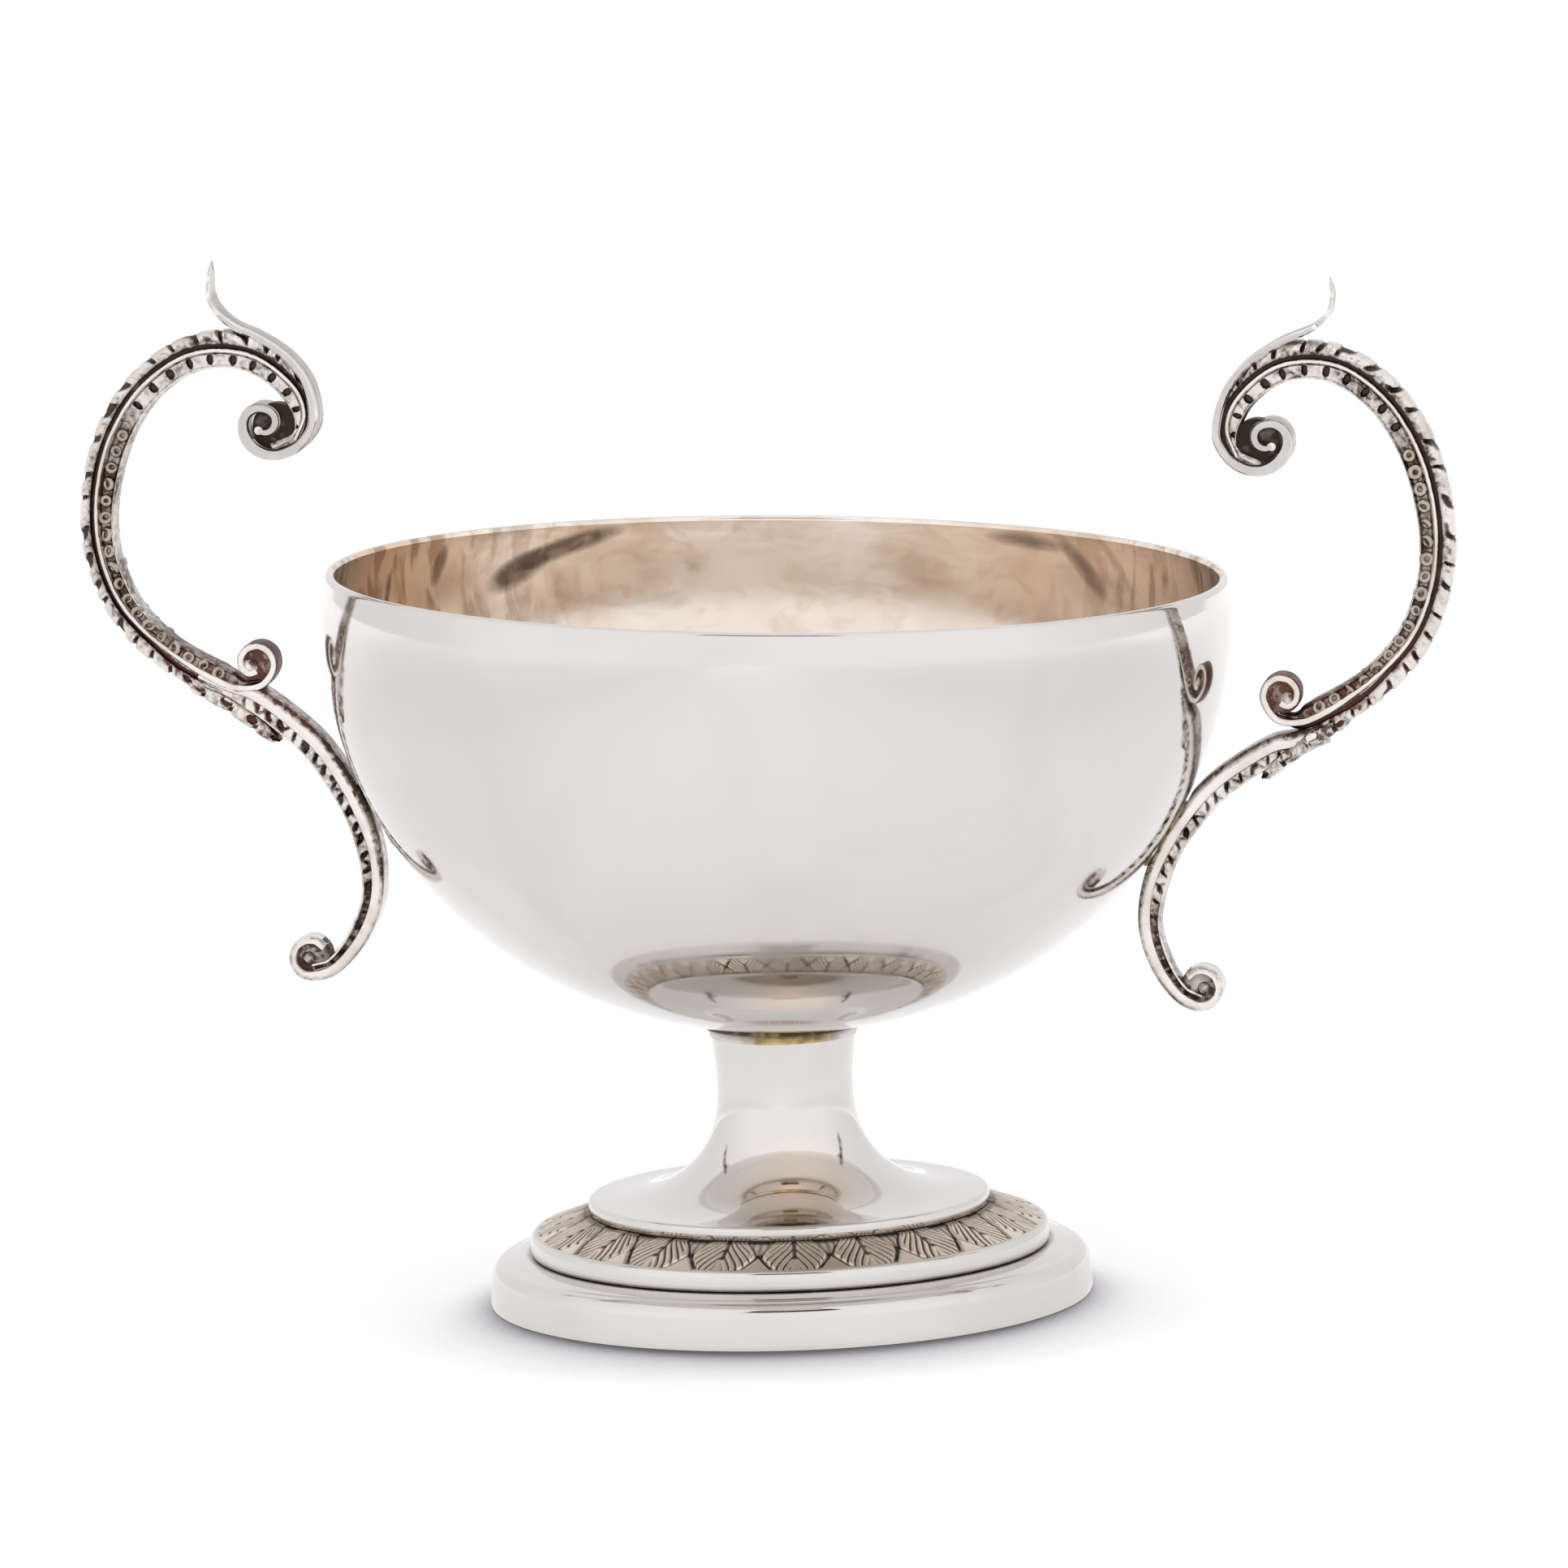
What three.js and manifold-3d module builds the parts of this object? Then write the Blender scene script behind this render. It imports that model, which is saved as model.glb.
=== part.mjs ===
// Two-handled footed cup in silver, in millimetres, with +Z up.
// The origin is on the surface that the foot stands on, in the middle of the foot.
// The handles lie along X. The bowl leans a little towards +X on its stem, as the cup shows.
import * as THREE from 'three';
import { mergeVertices } from 'three/addons/utils/BufferGeometryUtils.js';
import Module from 'manifold-3d';

const wasm = await Module();
wasm.setup();

// Driving dimensions of the bowl
const bowlRadius = 65;
const bellyDepth = 60.6;
const bellyFullness = 2.05;
const lipRise = 5;
const lipDrawIn = 0.6;
const bowlWall = 1.5;
const bowlLean = 2.1;
const bowlShift = -1.2;

// Driving dimensions of the stem and the plate that it spreads into
const seamHeight = 39;
const stemTopRadius = 10.5;
const neckRadius = 9.75;
const neckHeight = 31;
const flareFullness = 2.4;
const stemWall = 1.2;
const plateRadius = 28.8;
const plateEdge = 1.85;
const plateRound = 0.6;
const plateRim = 2.8;

// Driving dimensions of the foot below the plate
const footRadius = 43.2;
const footWall = 1.3;
const wallDraft = 0.4;
const wallHeight = 4.4;
const shoulderRound = 2.1;
const deckRise = 0.7;
const soleWidth = 3;
const soleThickness = 1.2;
const deckInset = 9.8;
const mouldingRadius = 37.3;
const mouldingWidth = 3.4;
const mouldingHeight = 2.75;
const mouldingBulge = 1.03;
const friezeRise = 2.7;
const friezeHeadOverhang = 0.5;
const friezeThickness = 1;
const friezeLip = 2.2;
const friezeStep = 0.6;

// Solder joints
const solderGap = 0.15;
const padGap = 0.2;
const thinnestPad = 0.4;
const padBite = 0.3;
const padWidth = 3.4;
const padReach = 4.5;
const filletWidth = 0.9;
const filletDrop = 1;
const filletRise = 0.4;
const trimAllowance = 3;

// Driving dimensions of one handle
const seatBelowBelly = 31.3;
const junctionAboveSeat = 16.3;
const scrollHalfDepth = 2.8;
const ridgeThickness = 1;
const ridgeProud = 0.3;
const ribbonThickness = 1.1;
const ribbonHalfDepth = 3.2;
const lowerHalfDepth = 2.3;
const edgeStripThickness = 1.1;
const edgeStripProud = 0.35;
const leafHalfDepth = 2.6;
const leafLobes = 3;
const lobeCut = 0.25;
const junctionWebRadius = 2.7;
const upperWebRadius = 3.4;
const bottomWebRadius = 2.9;
const webHalfDepth = 1.6;

// How the two hand-fitted handles differ from the drawing. The seat gap is how far the lower scroll's drawn
// edge stands off the bowl. Where it is below zero, the edge is filed away to clear the bowl.
const handleFits = [
  {
    side: 'left',
    facing: Math.PI,
    seatGap: 1.45,
    upper: { out: 1.1, up: 0.8, tilt: -1, wide: 1, tall: 0.973 },
    thumb: { out: 0, up: 0.7 },
    lower: { out: 1.9, up: 2.1, tilt: 1.5, wide: 1.044, tall: 1.032 },
  },
  {
    side: 'right',
    facing: 0,
    seatGap: -0.53,
    upper: { out: -1.1, up: -0.8, tilt: 1, wide: 0.975, tall: 1.027 },
    thumb: { out: 1.5, up: -0.9 },
    lower: { out: -1.8, up: -1.9, tilt: -2.5, wide: 0.956, tall: 0.968 },
  },
];

// Outlines of one handle, in its own plane: out from the bowl and up from the inner corner of the junction
const backLine = [
  [8, 1.9], [15.6, 6.3], [21.9, 13], [25, 21.4], [25.2, 30.5], [22.8, 39.3], [17.7, 46.9], [10.1, 51.7],
  [1.2, 51.4], [-5.6, 46], [-7, 41.5], [-5.5, 37.5], [-1.7, 35.6],
];
const thumbLine = [[7.3, 63.5], [7.6, 60.6]];
const ribbonLine = [[7.1, 57.9], [5.2, 55.4], [0.9, 53.6], [-4, 50.4], [-6.9, 46.5]];
const webEye = [-1.7, 39.8];
const junctionTurn = [[-0.3, 2], [1.4, 0.8], [4.5, 0.6]];
const lowerLine = [
  [4, 1], [1, 0.2], [-3.9, -2.9], [-8.7, -6.9], [-12.5, -11.9], [-15.4, -17.3], [-17.2, -23.3],
  [-17.3, -29.5], [-15.1, -35.4], [-11.2, -40],
];
const leafLine = [[10, 0.8], [6.4, -0.9], [3.5, -2.8], [1, -4.7], [-1.5, -6.6]];

// Volutes of one handle: the eye, the radius at each end, the angle at each end and how many points
const upperVolute = { eye: [-0.2, 40.6], radii: [7.7, 1.7], angles: [180, 560], points: 14 };
const junctionVolute = { eye: [1.8, 4.9], radii: [2.6, 3.2], angles: [-25, 190], points: 6 };
const bottomVolute = { eye: [-7.6, -37.7], radii: [3.5, 2.9], angles: [258, 500], points: 8 };

// Widths along those lines: place from 0 to 1, how far out, how far in, and the part of the full depth
const scrollWidths = [
  [0, 0.5, 2.8, 0.8], [0.08, 1.9, 2.8, 0.86], [0.25, 1.8, 3.3, 0.95], [0.45, 1.6, 3.9, 1],
  [0.66, 1.6, 3.8, 1], [0.76, 2, 3.6, 0.95], [0.86, 0.8, 3.4, 0.86], [1, 0.1, 1.4, 0.7],
];
const ribbonWidths = [
  [0, 0, 0.3, 0.1], [0.05, 0, 0.5, 0.75], [0.1, 0, 0.6, 1], [0.18, 0, 0.9, 0.8], [0.3, 0, 1, 0.9],
  [0.6, 0, 1, 1], [0.74, 0, 1.5, 1], [0.85, 0, 1.1, 0.95], [1, 0, 0.8, 0.8],
];
const lowerWidths = [
  [0, 0, 3, 0.8], [0.12, 0, 3.9, 0.95], [0.35, 0, 4, 1], [0.6, 0, 3.5, 1], [0.78, 0, 2.8, 0.95],
  [1, 0, 2.5, 0.85],
];
const leafWidths = [[0, 0.5, 0.5, 0.8], [0.3, 1.5, 1.4, 1], [0.7, 1.7, 1.6, 1], [1, 0.5, 0.5, 0.5]];

// How finely round shapes are divided
const roundSteps = 60;
const stemSteps = 36;
const profileSteps = 8;
const eyeSteps = 14;
const cornerSteps = 4;
const backSteps = 34;
const ridgeSteps = 44;
const ribbonSteps = 48;
const lowerSteps = 24;
const edgeSteps = 38;
const leafSteps = 12;
const homingSteps = 20;
const weldDistance = 1e-4;

// How much of a bar's thinner side each rounded corner takes off
const cornerCut = 0.28;

const degrees = Math.PI / 180;

// Solids and booleans

// Joins equal corners and drops triangles that a pole has squeezed flat.
function cleaned(geometry) {
  const bare = geometry.clone();
  bare.deleteAttribute('normal');
  bare.deleteAttribute('uv');
  const merged = mergeVertices(bare, weldDistance);
  const source = merged.index.array;
  const kept = [];
  for (let i = 0; i < source.length; i += 3) {
    const [a, b, c] = [source[i], source[i + 1], source[i + 2]];
    if (a !== b && b !== c && c !== a) kept.push(a, b, c);
  }
  merged.setIndex(kept);
  return merged;
}

function toSolid(geometry) {
  const merged = cleaned(geometry);
  return new wasm.Manifold(new wasm.Mesh({
    numProp: 3,
    vertProperties: new Float32Array(merged.attributes.position.array),
    triVerts: new Uint32Array(merged.index.array),
  }));
}

// Cuts can leave crumbs. Only the largest body is the piece.
function largestBody(solid) {
  return solid.decompose().sort((one, other) => other.volume() - one.volume())[0];
}

function toGeometry(solid) {
  const mesh = largestBody(solid).getMesh();
  const geometry = new THREE.BufferGeometry();
  geometry.setAttribute('position', new THREE.BufferAttribute(mesh.vertProperties, 3));
  geometry.setIndex(new THREE.BufferAttribute(mesh.triVerts, 1));
  geometry.computeVertexNormals();
  return geometry;
}

// Turns a closed or axis-to-axis outline of [radius, height] about the Z axis.
function turned(outline, steps) {
  const points = outline.map(([radius, height]) => new THREE.Vector2(radius, height));
  const geometry = new THREE.LatheGeometry(points, steps);
  geometry.rotateX(Math.PI / 2);
  return toSolid(geometry);
}

function ringOf(outline, steps) {
  return turned([...outline, outline[0]], steps);
}

// Reads a table of [place, ...values] at a place between 0 and 1, easing from row to row.
function widthsAt(table, place) {
  const next = Math.max(1, table.findIndex((row) => row[0] >= place));
  const [low, high] = [table[next - 1], table[next]];
  const part = (place - low[0]) / (high[0] - low[0]);
  const eased = part * part * (3 - 2 * part);
  return low.slice(1).map((value, i) => value + (high[i + 1] - value) * eased);
}

function curveThrough(points) {
  const knots = points.map(([out, up]) => new THREE.Vector3(out, 0, up));
  return new THREE.CatmullRomCurve3(knots, false, 'centripetal');
}

// Points on a volute about an eye. Its radius changes by the same part in each step of angle.
function spiral({ radii, angles, points }, eye) {
  return Array.from({ length: points }, (_, i) => {
    const part = i / (points - 1);
    const radius = radii[0] * (radii[1] / radii[0]) ** part;
    const angle = (angles[0] + (angles[1] - angles[0]) * part) * degrees;
    return [eye[0] + radius * Math.cos(angle), eye[1] + radius * Math.sin(angle)];
  });
}

// Corners of a bar's section, as [across, depth]. A rounded one has its corners taken off.
function sectionCorners(low, high, deep, rounded) {
  if (!rounded) return [[low, deep], [high, deep], [high, -deep], [low, -deep]];
  const cut = cornerCut * Math.min(high - low, 2 * deep);
  return [
    [low, deep - cut], [low + cut, deep], [high - cut, deep], [high, deep - cut],
    [high, cut - deep], [high - cut, -deep], [low + cut, -deep], [low, cut - deep],
  ];
}

// A bar that follows a curve in the handle's plane. At each place, widthsHere tells how far it reaches
// to the right of the curve, to the left, and to each side in depth.
function bar(curve, steps, widthsHere, { rounded = false, grow = 0 } = {}) {
  const positions = [];
  let section = 0;
  for (let i = 0; i <= steps; i += 1) {
    const place = i / steps;
    const point = curve.getPointAt(place);
    const along = curve.getTangentAt(place);
    const left = new THREE.Vector3(-along.z, 0, along.x);
    if (i === 0) point.addScaledVector(along, -grow);
    if (i === steps) point.addScaledVector(along, grow);
    const [right, inward, half] = widthsHere(place);
    const corners = sectionCorners(-right - grow, inward + grow, half + grow, rounded);
    section = corners.length;
    for (const [across, depth] of corners) {
      positions.push(point.x + left.x * across, depth, point.z + left.z * across);
    }
  }
  const faces = [];
  for (let i = 0; i < steps; i += 1) {
    for (let k = 0; k < section; k += 1) {
      const a = i * section + k;
      const b = i * section + (k + 1) % section;
      faces.push(a, b, a + section, b, b + section, a + section);
    }
  }
  const last = steps * section;
  for (let k = 1; k < section - 1; k += 1) {
    faces.push(0, k + 1, k, last, last + k, last + k + 1);
  }
  const geometry = new THREE.BufferGeometry();
  geometry.setAttribute('position', new THREE.Float32BufferAttribute(positions, 3));
  geometry.setIndex(faces);
  return toSolid(geometry);
}

// A short round boss across the handle, centred on an eye.
function boss(eye, radius, half) {
  const geometry = new THREE.CylinderGeometry(radius, radius, 2 * half, eyeSteps);
  geometry.translate(eye[0], 0, eye[1]);
  return toSolid(geometry);
}

// Bowl

const bowlDepth = bellyDepth + lipRise;
const bellyAbovePole = bellyDepth;

// Radius of the bowl's outside, grown by "grow", at an angle down from the belly to the bottom.
function bellyPoint(angle, grow) {
  const power = 2 / bellyFullness;
  return [
    (bowlRadius + grow) * Math.cos(angle) ** power,
    bellyAbovePole - (bellyDepth + grow) * Math.sin(angle) ** power,
  ];
}

function belly(grow, steps) {
  return Array.from({ length: steps }, (_, i) => bellyPoint((Math.PI / 2) * (1 - i / steps), grow));
}

function bowlOuterRadius(abovePole) {
  const drop = (bellyAbovePole - abovePole) / bellyDepth;
  return bowlRadius * (1 - drop ** bellyFullness) ** (1 / bellyFullness);
}

function makeBowl() {
  const lipRadius = bowlRadius - lipDrawIn;
  const lipRound = bowlWall / 2;
  const outside = belly(0, profileSteps);
  outside[0][0] = 0;
  const inside = belly(-bowlWall, profileSteps);
  inside[0][0] = 0;
  const lip = Array.from({ length: cornerSteps + 1 }, (_, i) => {
    const angle = (Math.PI * i) / cornerSteps;
    return [
      lipRadius - lipRound + lipRound * Math.cos(angle),
      bowlDepth - lipRound + lipRound * Math.sin(angle),
    ];
  });
  const outline = [
    ...outside,
    [bowlRadius, bellyAbovePole],
    ...lip,
    [bowlRadius - bowlWall, bellyAbovePole],
    ...inside.reverse(),
  ];
  return turned(outline, roundSteps);
}

// A plug of the bowl's outer shape, grown by a clearance, which trims what is soldered to the bowl.
function bowlPlug(clearance) {
  const outline = belly(clearance, profileSteps);
  outline[0][0] = 0;
  const top = bowlDepth + clearance;
  const wide = bowlRadius + clearance;
  return turned([...outline, [wide, bellyAbovePole], [wide, top], [0, top]], roundSteps);
}

function inBowlPlace(solid) {
  const place = bowlMatrix();
  return solid.transform(place.elements);
}

function bowlMatrix() {
  const turn = new THREE.Matrix4().makeRotationY(bowlLean * degrees);
  return new THREE.Matrix4().makeTranslation(bowlShift, 0, seamHeight).multiply(turn);
}

// Foot, from the standing face up

const deckTop = wallHeight + shoulderRound + deckRise;
const mouldingBottom = deckTop + solderGap;
const mouldingTop = mouldingBottom + mouldingHeight;
const friezeBottom = mouldingTop + solderGap;
const friezeTop = friezeBottom + friezeRise;
const plateBottom = friezeTop + solderGap;
const plateTop = plateBottom + plateEdge;

function makeBaseRing() {
  const shoulderCentre = footRadius - shoulderRound;
  const shoulder = Array.from({ length: cornerSteps + 1 }, (_, i) => {
    const angle = (Math.PI / 2) * (i / cornerSteps);
    return [
      shoulderCentre + shoulderRound * Math.cos(angle),
      wallHeight + shoulderRound * Math.sin(angle),
    ];
  });
  const deckEnd = footRadius - deckInset;
  const innerWall = footRadius - footWall;
  return ringOf([
    [footRadius - wallDraft, 0],
    ...shoulder,
    [mouldingRadius + solderGap, deckTop],
    [deckEnd, deckTop],
    [deckEnd, deckTop - footWall],
    [innerWall - shoulderRound, deckTop - deckRise - footWall],
    [innerWall, wallHeight],
    [innerWall - wallDraft, soleThickness],
    [footRadius - wallDraft - soleWidth, soleThickness],
    [footRadius - wallDraft - soleWidth, 0],
  ], roundSteps);
}

function makeMoulding() {
  const swell = mouldingHeight / 2;
  const middle = mouldingBottom + swell;
  const round = Array.from({ length: cornerSteps + 1 }, (_, i) => {
    const angle = Math.PI * (i / cornerSteps - 0.5);
    return [
      mouldingRadius - mouldingBulge * (1 - Math.cos(angle)),
      middle + swell * Math.sin(angle),
    ];
  });
  const inner = mouldingRadius - mouldingWidth;
  return ringOf([...round, [inner, mouldingTop], [inner, mouldingBottom]], roundSteps);
}

function makeFrieze() {
  const footEdge = mouldingRadius - mouldingBulge;
  const headEdge = plateRadius + friezeHeadOverhang;
  return ringOf([
    [footEdge, friezeBottom],
    [headEdge, friezeTop],
    [headEdge - friezeLip, friezeTop],
    [headEdge - friezeLip, friezeTop - friezeThickness],
    [headEdge - friezeStep, friezeTop - friezeThickness],
    [footEdge - friezeLip, friezeBottom],
  ], roundSteps);
}

// Half of the trumpet's outline: from the plate's edge up to the neck, set in by the wall's thickness.
function flare(setIn, steps) {
  const spread = plateRadius - plateRound - neckRadius;
  const rise = neckHeight - plateTop;
  const power = 2 / flareFullness;
  return Array.from({ length: steps + 1 }, (_, i) => {
    const angle = (Math.PI / 2) * (i / steps);
    return [
      neckRadius - setIn + spread * (1 - Math.sin(angle) ** power),
      neckHeight - setIn - rise * Math.cos(angle) ** power,
    ];
  });
}

function makeStem() {
  const topReach = seamHeight + trimAllowance;
  const roundMiddle = plateRound * (1 - Math.SQRT1_2);
  const outer = flare(0, profileSteps);
  outer[0] = [plateRadius - plateRound, plateTop];
  const inner = flare(stemWall, profileSteps).filter(([radius]) => radius < plateRadius - plateRim);
  const outline = [
    [plateRadius, plateBottom],
    [plateRadius, plateTop - plateRound],
    [plateRadius - roundMiddle, plateTop - roundMiddle],
    ...outer,
    [stemTopRadius, topReach],
    [stemTopRadius - stemWall, topReach],
    ...inner.reverse(),
    [plateRadius - plateRim, plateTop - stemWall],
    [plateRadius - plateRim, plateBottom],
  ];
  return ringOf(outline, stemSteps).subtract(inBowlPlace(bowlPlug(solderGap)));
}

// The fillet of solder round the top of the stem, trimmed to the bowl.
function makeSeam() {
  const inner = stemTopRadius + solderGap;
  const ring = ringOf([
    [inner, seamHeight - filletDrop],
    [inner + filletWidth, seamHeight + filletRise],
    [inner + filletWidth, seamHeight + trimAllowance],
    [inner, seamHeight + trimAllowance],
  ], stemSteps);
  return ring.subtract(inBowlPlace(bowlPlug(solderGap)));
}

// Handle pieces, in the handle's own plane

// Moves points of the drawing to where one hand-fitted handle has them.
function fitted(points, { out, up, tilt, wide, tall }) {
  const [cos, sin] = [Math.cos(tilt * degrees), Math.sin(tilt * degrees)];
  return points.map((point) => {
    const [x, y] = [point[0] * wide, point[1] * tall];
    return [out + x * cos - y * sin, up + x * sin + y * cos];
  });
}

// The large scroll: a body with a raised ridge, which ends in the small volute at the junction.
function largeScroll(fit, grow = 0) {
  const back = fitted(backLine, fit.upper);
  const eye = fitted([junctionVolute.eye], fit.upper)[0];
  const curl = [...spiral(junctionVolute, eye), ...fitted(junctionTurn, fit.upper)];
  const body = bar(curveThrough(back), backSteps, (place) => {
    const [out, inward, depth] = widthsAt(scrollWidths, place);
    return [out, inward, depth * scrollHalfDepth];
  }, { rounded: true, grow });
  const ridge = bar(curveThrough([...curl, ...back.slice(0, -1)]), ridgeSteps, (place) => {
    const [, , depth] = widthsAt(scrollWidths, place);
    return [0, ridgeThickness, depth * scrollHalfDepth + ridgeProud];
  }, { grow });
  const web = boss(eye, junctionWebRadius + grow, webHalfDepth + grow);
  return body.add(ridge).add(web);
}

// The ribbon: the thumb leaf at the top, the strip over the back, and the upper volute with its web.
function ribbon(fit, grow = 0) {
  const eye = fitted([upperVolute.eye], fit.upper)[0];
  const leaf = fitted(thumbLine, fit.upper).map(([x, y]) => [x + fit.thumb.out, y + fit.thumb.up]);
  const line = [...leaf, ...fitted(ribbonLine, fit.upper), ...spiral(upperVolute, eye)];
  const strip = bar(curveThrough(line), ribbonSteps, (place) => {
    const [out, inward, depth] = widthsAt(ribbonWidths, place);
    return [out, inward * ribbonThickness, depth * ribbonHalfDepth];
  }, { grow });
  const webAt = fitted([webEye], fit.upper)[0];
  const web = boss(webAt, upperWebRadius + grow, webHalfDepth + grow);
  return strip.add(web);
}

// The lower scroll: a body with a smooth strip along its edge, which winds into the bottom volute.
function lowerScroll(fit, grow = 0) {
  const eye = fitted([bottomVolute.eye], fit.lower)[0];
  const line = fitted(lowerLine, fit.lower);
  const curl = spiral(bottomVolute, eye);
  const body = bar(curveThrough([...line, curl[0]]), lowerSteps, (place) => {
    const [out, inward, depth] = widthsAt(lowerWidths, place);
    return [out, inward, depth * lowerHalfDepth];
  }, { rounded: true, grow });
  const strip = bar(curveThrough([...line, ...curl]), edgeSteps, () => (
    [0, edgeStripThickness, lowerHalfDepth + edgeStripProud]
  ), { grow });
  const web = boss(eye, bottomWebRadius + grow, webHalfDepth + grow);
  return body.add(strip).add(web);
}

// The leaf that covers the joint between the two scrolls.
function junctionLeaf(fit) {
  return bar(curveThrough(fitted(leafLine, fit.upper)), leafSteps, (place) => {
    const [out, inward, depth] = widthsAt(leafWidths, place);
    const lobe = 1 - lobeCut + lobeCut * Math.abs(Math.sin(leafLobes * Math.PI * place));
    return [out * lobe, inward, depth * leafHalfDepth];
  }, { rounded: true });
}

// The plate of solder that fills the clearance between the bowl and the lower scroll.
function solderPad(seatUp, clearance) {
  const block = new THREE.BoxGeometry(bowlRadius, padWidth, 2 * padReach);
  block.translate(bowlOuterRadius(seatUp), 0, seatUp);
  return toSolid(block).intersect(bowlPlug(clearance - padGap)).subtract(bowlPlug(padGap));
}

// How far a point in the handle's plane is outside the bowl. The bowl's outline is taken as one of a family
// of outlines of the same shape, and the point is set against the outline that it lies on.
function outsideBowl(out, up) {
  const across = Math.abs(out) / bowlRadius;
  const down = Math.abs(bellyAbovePole - up) / bellyDepth;
  const level = (across ** bellyFullness + down ** bellyFullness) ** (1 / bellyFullness);
  const slope = Math.hypot(
    (across / level) ** (bellyFullness - 1) / bowlRadius,
    (down / level) ** (bellyFullness - 1) / bellyDepth,
  );
  return (level - 1) / slope;
}

// How far the lower scroll's edge stands off the bowl at its nearest, for a junction at the given place.
function standOff(fit, outAt, upAt) {
  const edge = curveThrough(fitted(lowerLine, fit.lower)).getPoints(edgeSteps);
  return Math.min(...edge.map((point) => outsideBowl(outAt + point.x, upAt + point.z)));
}

// How far out from the bowl's axis a handle's junction is, when the lower scroll has its seat gap. Moving the
// junction out moves the edge off the bowl by a little less, so each step closes most of what is left.
function junctionOutFor(fit, upAt) {
  let outAt = bowlRadius;
  for (let step = 0; step < homingSteps; step += 1) {
    outAt += fit.seatGap - standOff(fit, outAt, upAt);
  }
  return outAt;
}

// Assembly

function metal(color, roughness) {
  return new THREE.MeshStandardMaterial({ color, roughness, metalness: 1 });
}

const finishes = {
  polished: () => metal(0xe4e3e0, 0.18),
  handled: () => metal(0xd9d4cc, 0.3),
  chased: () => metal(0xa89c8e, 0.4),
  solder: () => metal(0xb9ac8a, 0.45),
};

function piece(name, solid, finish) {
  const mesh = new THREE.Mesh(toGeometry(solid), finishes[finish]());
  mesh.name = name;
  return mesh;
}

const cup = new THREE.Group();
cup.add(piece('base_ring', makeBaseRing(), 'polished'));
cup.add(piece('moulding_wire', makeMoulding(), 'polished'));
cup.add(piece('leaf_frieze', makeFrieze(), 'chased'));
cup.add(piece('stem_and_plate', makeStem(), 'polished'));
cup.add(piece('stem_solder_seam', makeSeam(), 'solder'));

const upper = new THREE.Group();
upper.position.set(bowlShift, 0, seamHeight);
upper.rotation.y = bowlLean * degrees;
upper.add(piece('bowl', makeBowl(), 'polished'));
cup.add(upper);

const seatUp = bellyAbovePole - seatBelowBelly;
const junctionUp = seatUp + junctionAboveSeat;

for (const fit of handleFits) {
  const junctionOut = junctionOutFor(fit, junctionUp);
  const clearance = Math.max(fit.seatGap + padBite, 2 * padGap + thinnestPad);
  const trim = bowlPlug(clearance).translate([-junctionOut, 0, -junctionUp]);
  const besideLarge = largeScroll(fit, solderGap);
  const large = largeScroll(fit).subtract(ribbon(fit, solderGap));
  const lower = lowerScroll(fit).subtract(besideLarge).subtract(trim);
  const leaf = junctionLeaf(fit).subtract(besideLarge).subtract(lowerScroll(fit, solderGap));
  const scrolls = new THREE.Group();
  scrolls.add(piece(`${fit.side}_large_scroll`, large, 'handled'));
  scrolls.add(piece(`${fit.side}_ribbon_and_thumb_leaf`, ribbon(fit), 'polished'));
  scrolls.add(piece(`${fit.side}_lower_scroll`, lower, 'handled'));
  scrolls.add(piece(`${fit.side}_junction_leaf`, leaf, 'chased'));
  scrolls.position.set(junctionOut, 0, junctionUp);
  const pad = solderPad(seatUp, clearance);
  const handle = new THREE.Group();
  handle.add(scrolls);
  handle.add(piece(`${fit.side}_solder_pad`, pad, 'solder'));
  handle.rotation.z = fit.facing;
  upper.add(handle);
}

export default cup;
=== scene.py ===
"""The looks of a two-handled footed silver cup, made round its solids.

The drawing's lengths are millimetres. Meshes are made in metres, in the same frame as the solids.
"""

import logging
import math
from collections.abc import Callable, Sequence
from dataclasses import dataclass
from enum import Enum

import bmesh
import bpy
import numpy as np
from mathutils import Matrix, Vector


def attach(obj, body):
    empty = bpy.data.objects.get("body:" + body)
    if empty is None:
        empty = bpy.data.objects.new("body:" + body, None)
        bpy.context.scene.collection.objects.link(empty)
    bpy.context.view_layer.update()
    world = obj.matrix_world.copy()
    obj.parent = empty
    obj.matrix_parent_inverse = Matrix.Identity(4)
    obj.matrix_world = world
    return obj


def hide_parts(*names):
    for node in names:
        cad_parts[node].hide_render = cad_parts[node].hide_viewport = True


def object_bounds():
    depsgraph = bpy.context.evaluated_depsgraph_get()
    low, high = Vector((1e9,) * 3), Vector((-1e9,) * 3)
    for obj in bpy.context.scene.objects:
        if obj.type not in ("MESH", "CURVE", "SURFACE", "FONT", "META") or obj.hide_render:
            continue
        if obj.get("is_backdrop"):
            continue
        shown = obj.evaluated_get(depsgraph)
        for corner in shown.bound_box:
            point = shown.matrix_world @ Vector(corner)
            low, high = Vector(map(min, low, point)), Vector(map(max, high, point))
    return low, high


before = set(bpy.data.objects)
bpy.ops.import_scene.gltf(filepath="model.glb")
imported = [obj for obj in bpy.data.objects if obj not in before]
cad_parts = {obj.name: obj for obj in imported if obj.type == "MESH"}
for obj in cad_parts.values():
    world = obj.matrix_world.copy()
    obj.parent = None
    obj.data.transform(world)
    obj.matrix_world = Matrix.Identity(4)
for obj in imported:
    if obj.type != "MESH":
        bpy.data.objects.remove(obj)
SOLID_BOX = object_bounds()
LOG = logging.getLogger("cup")

MM = 0.001
TURN = 2 * math.pi
SHADE = "shade"
LOOK_AHEAD = 0.25

Colour = tuple[float, float, float]
Points = Sequence[Sequence[float]]
ArrayPair = tuple[np.ndarray, np.ndarray]
Section = Callable[[float, float], ArrayPair]


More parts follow.
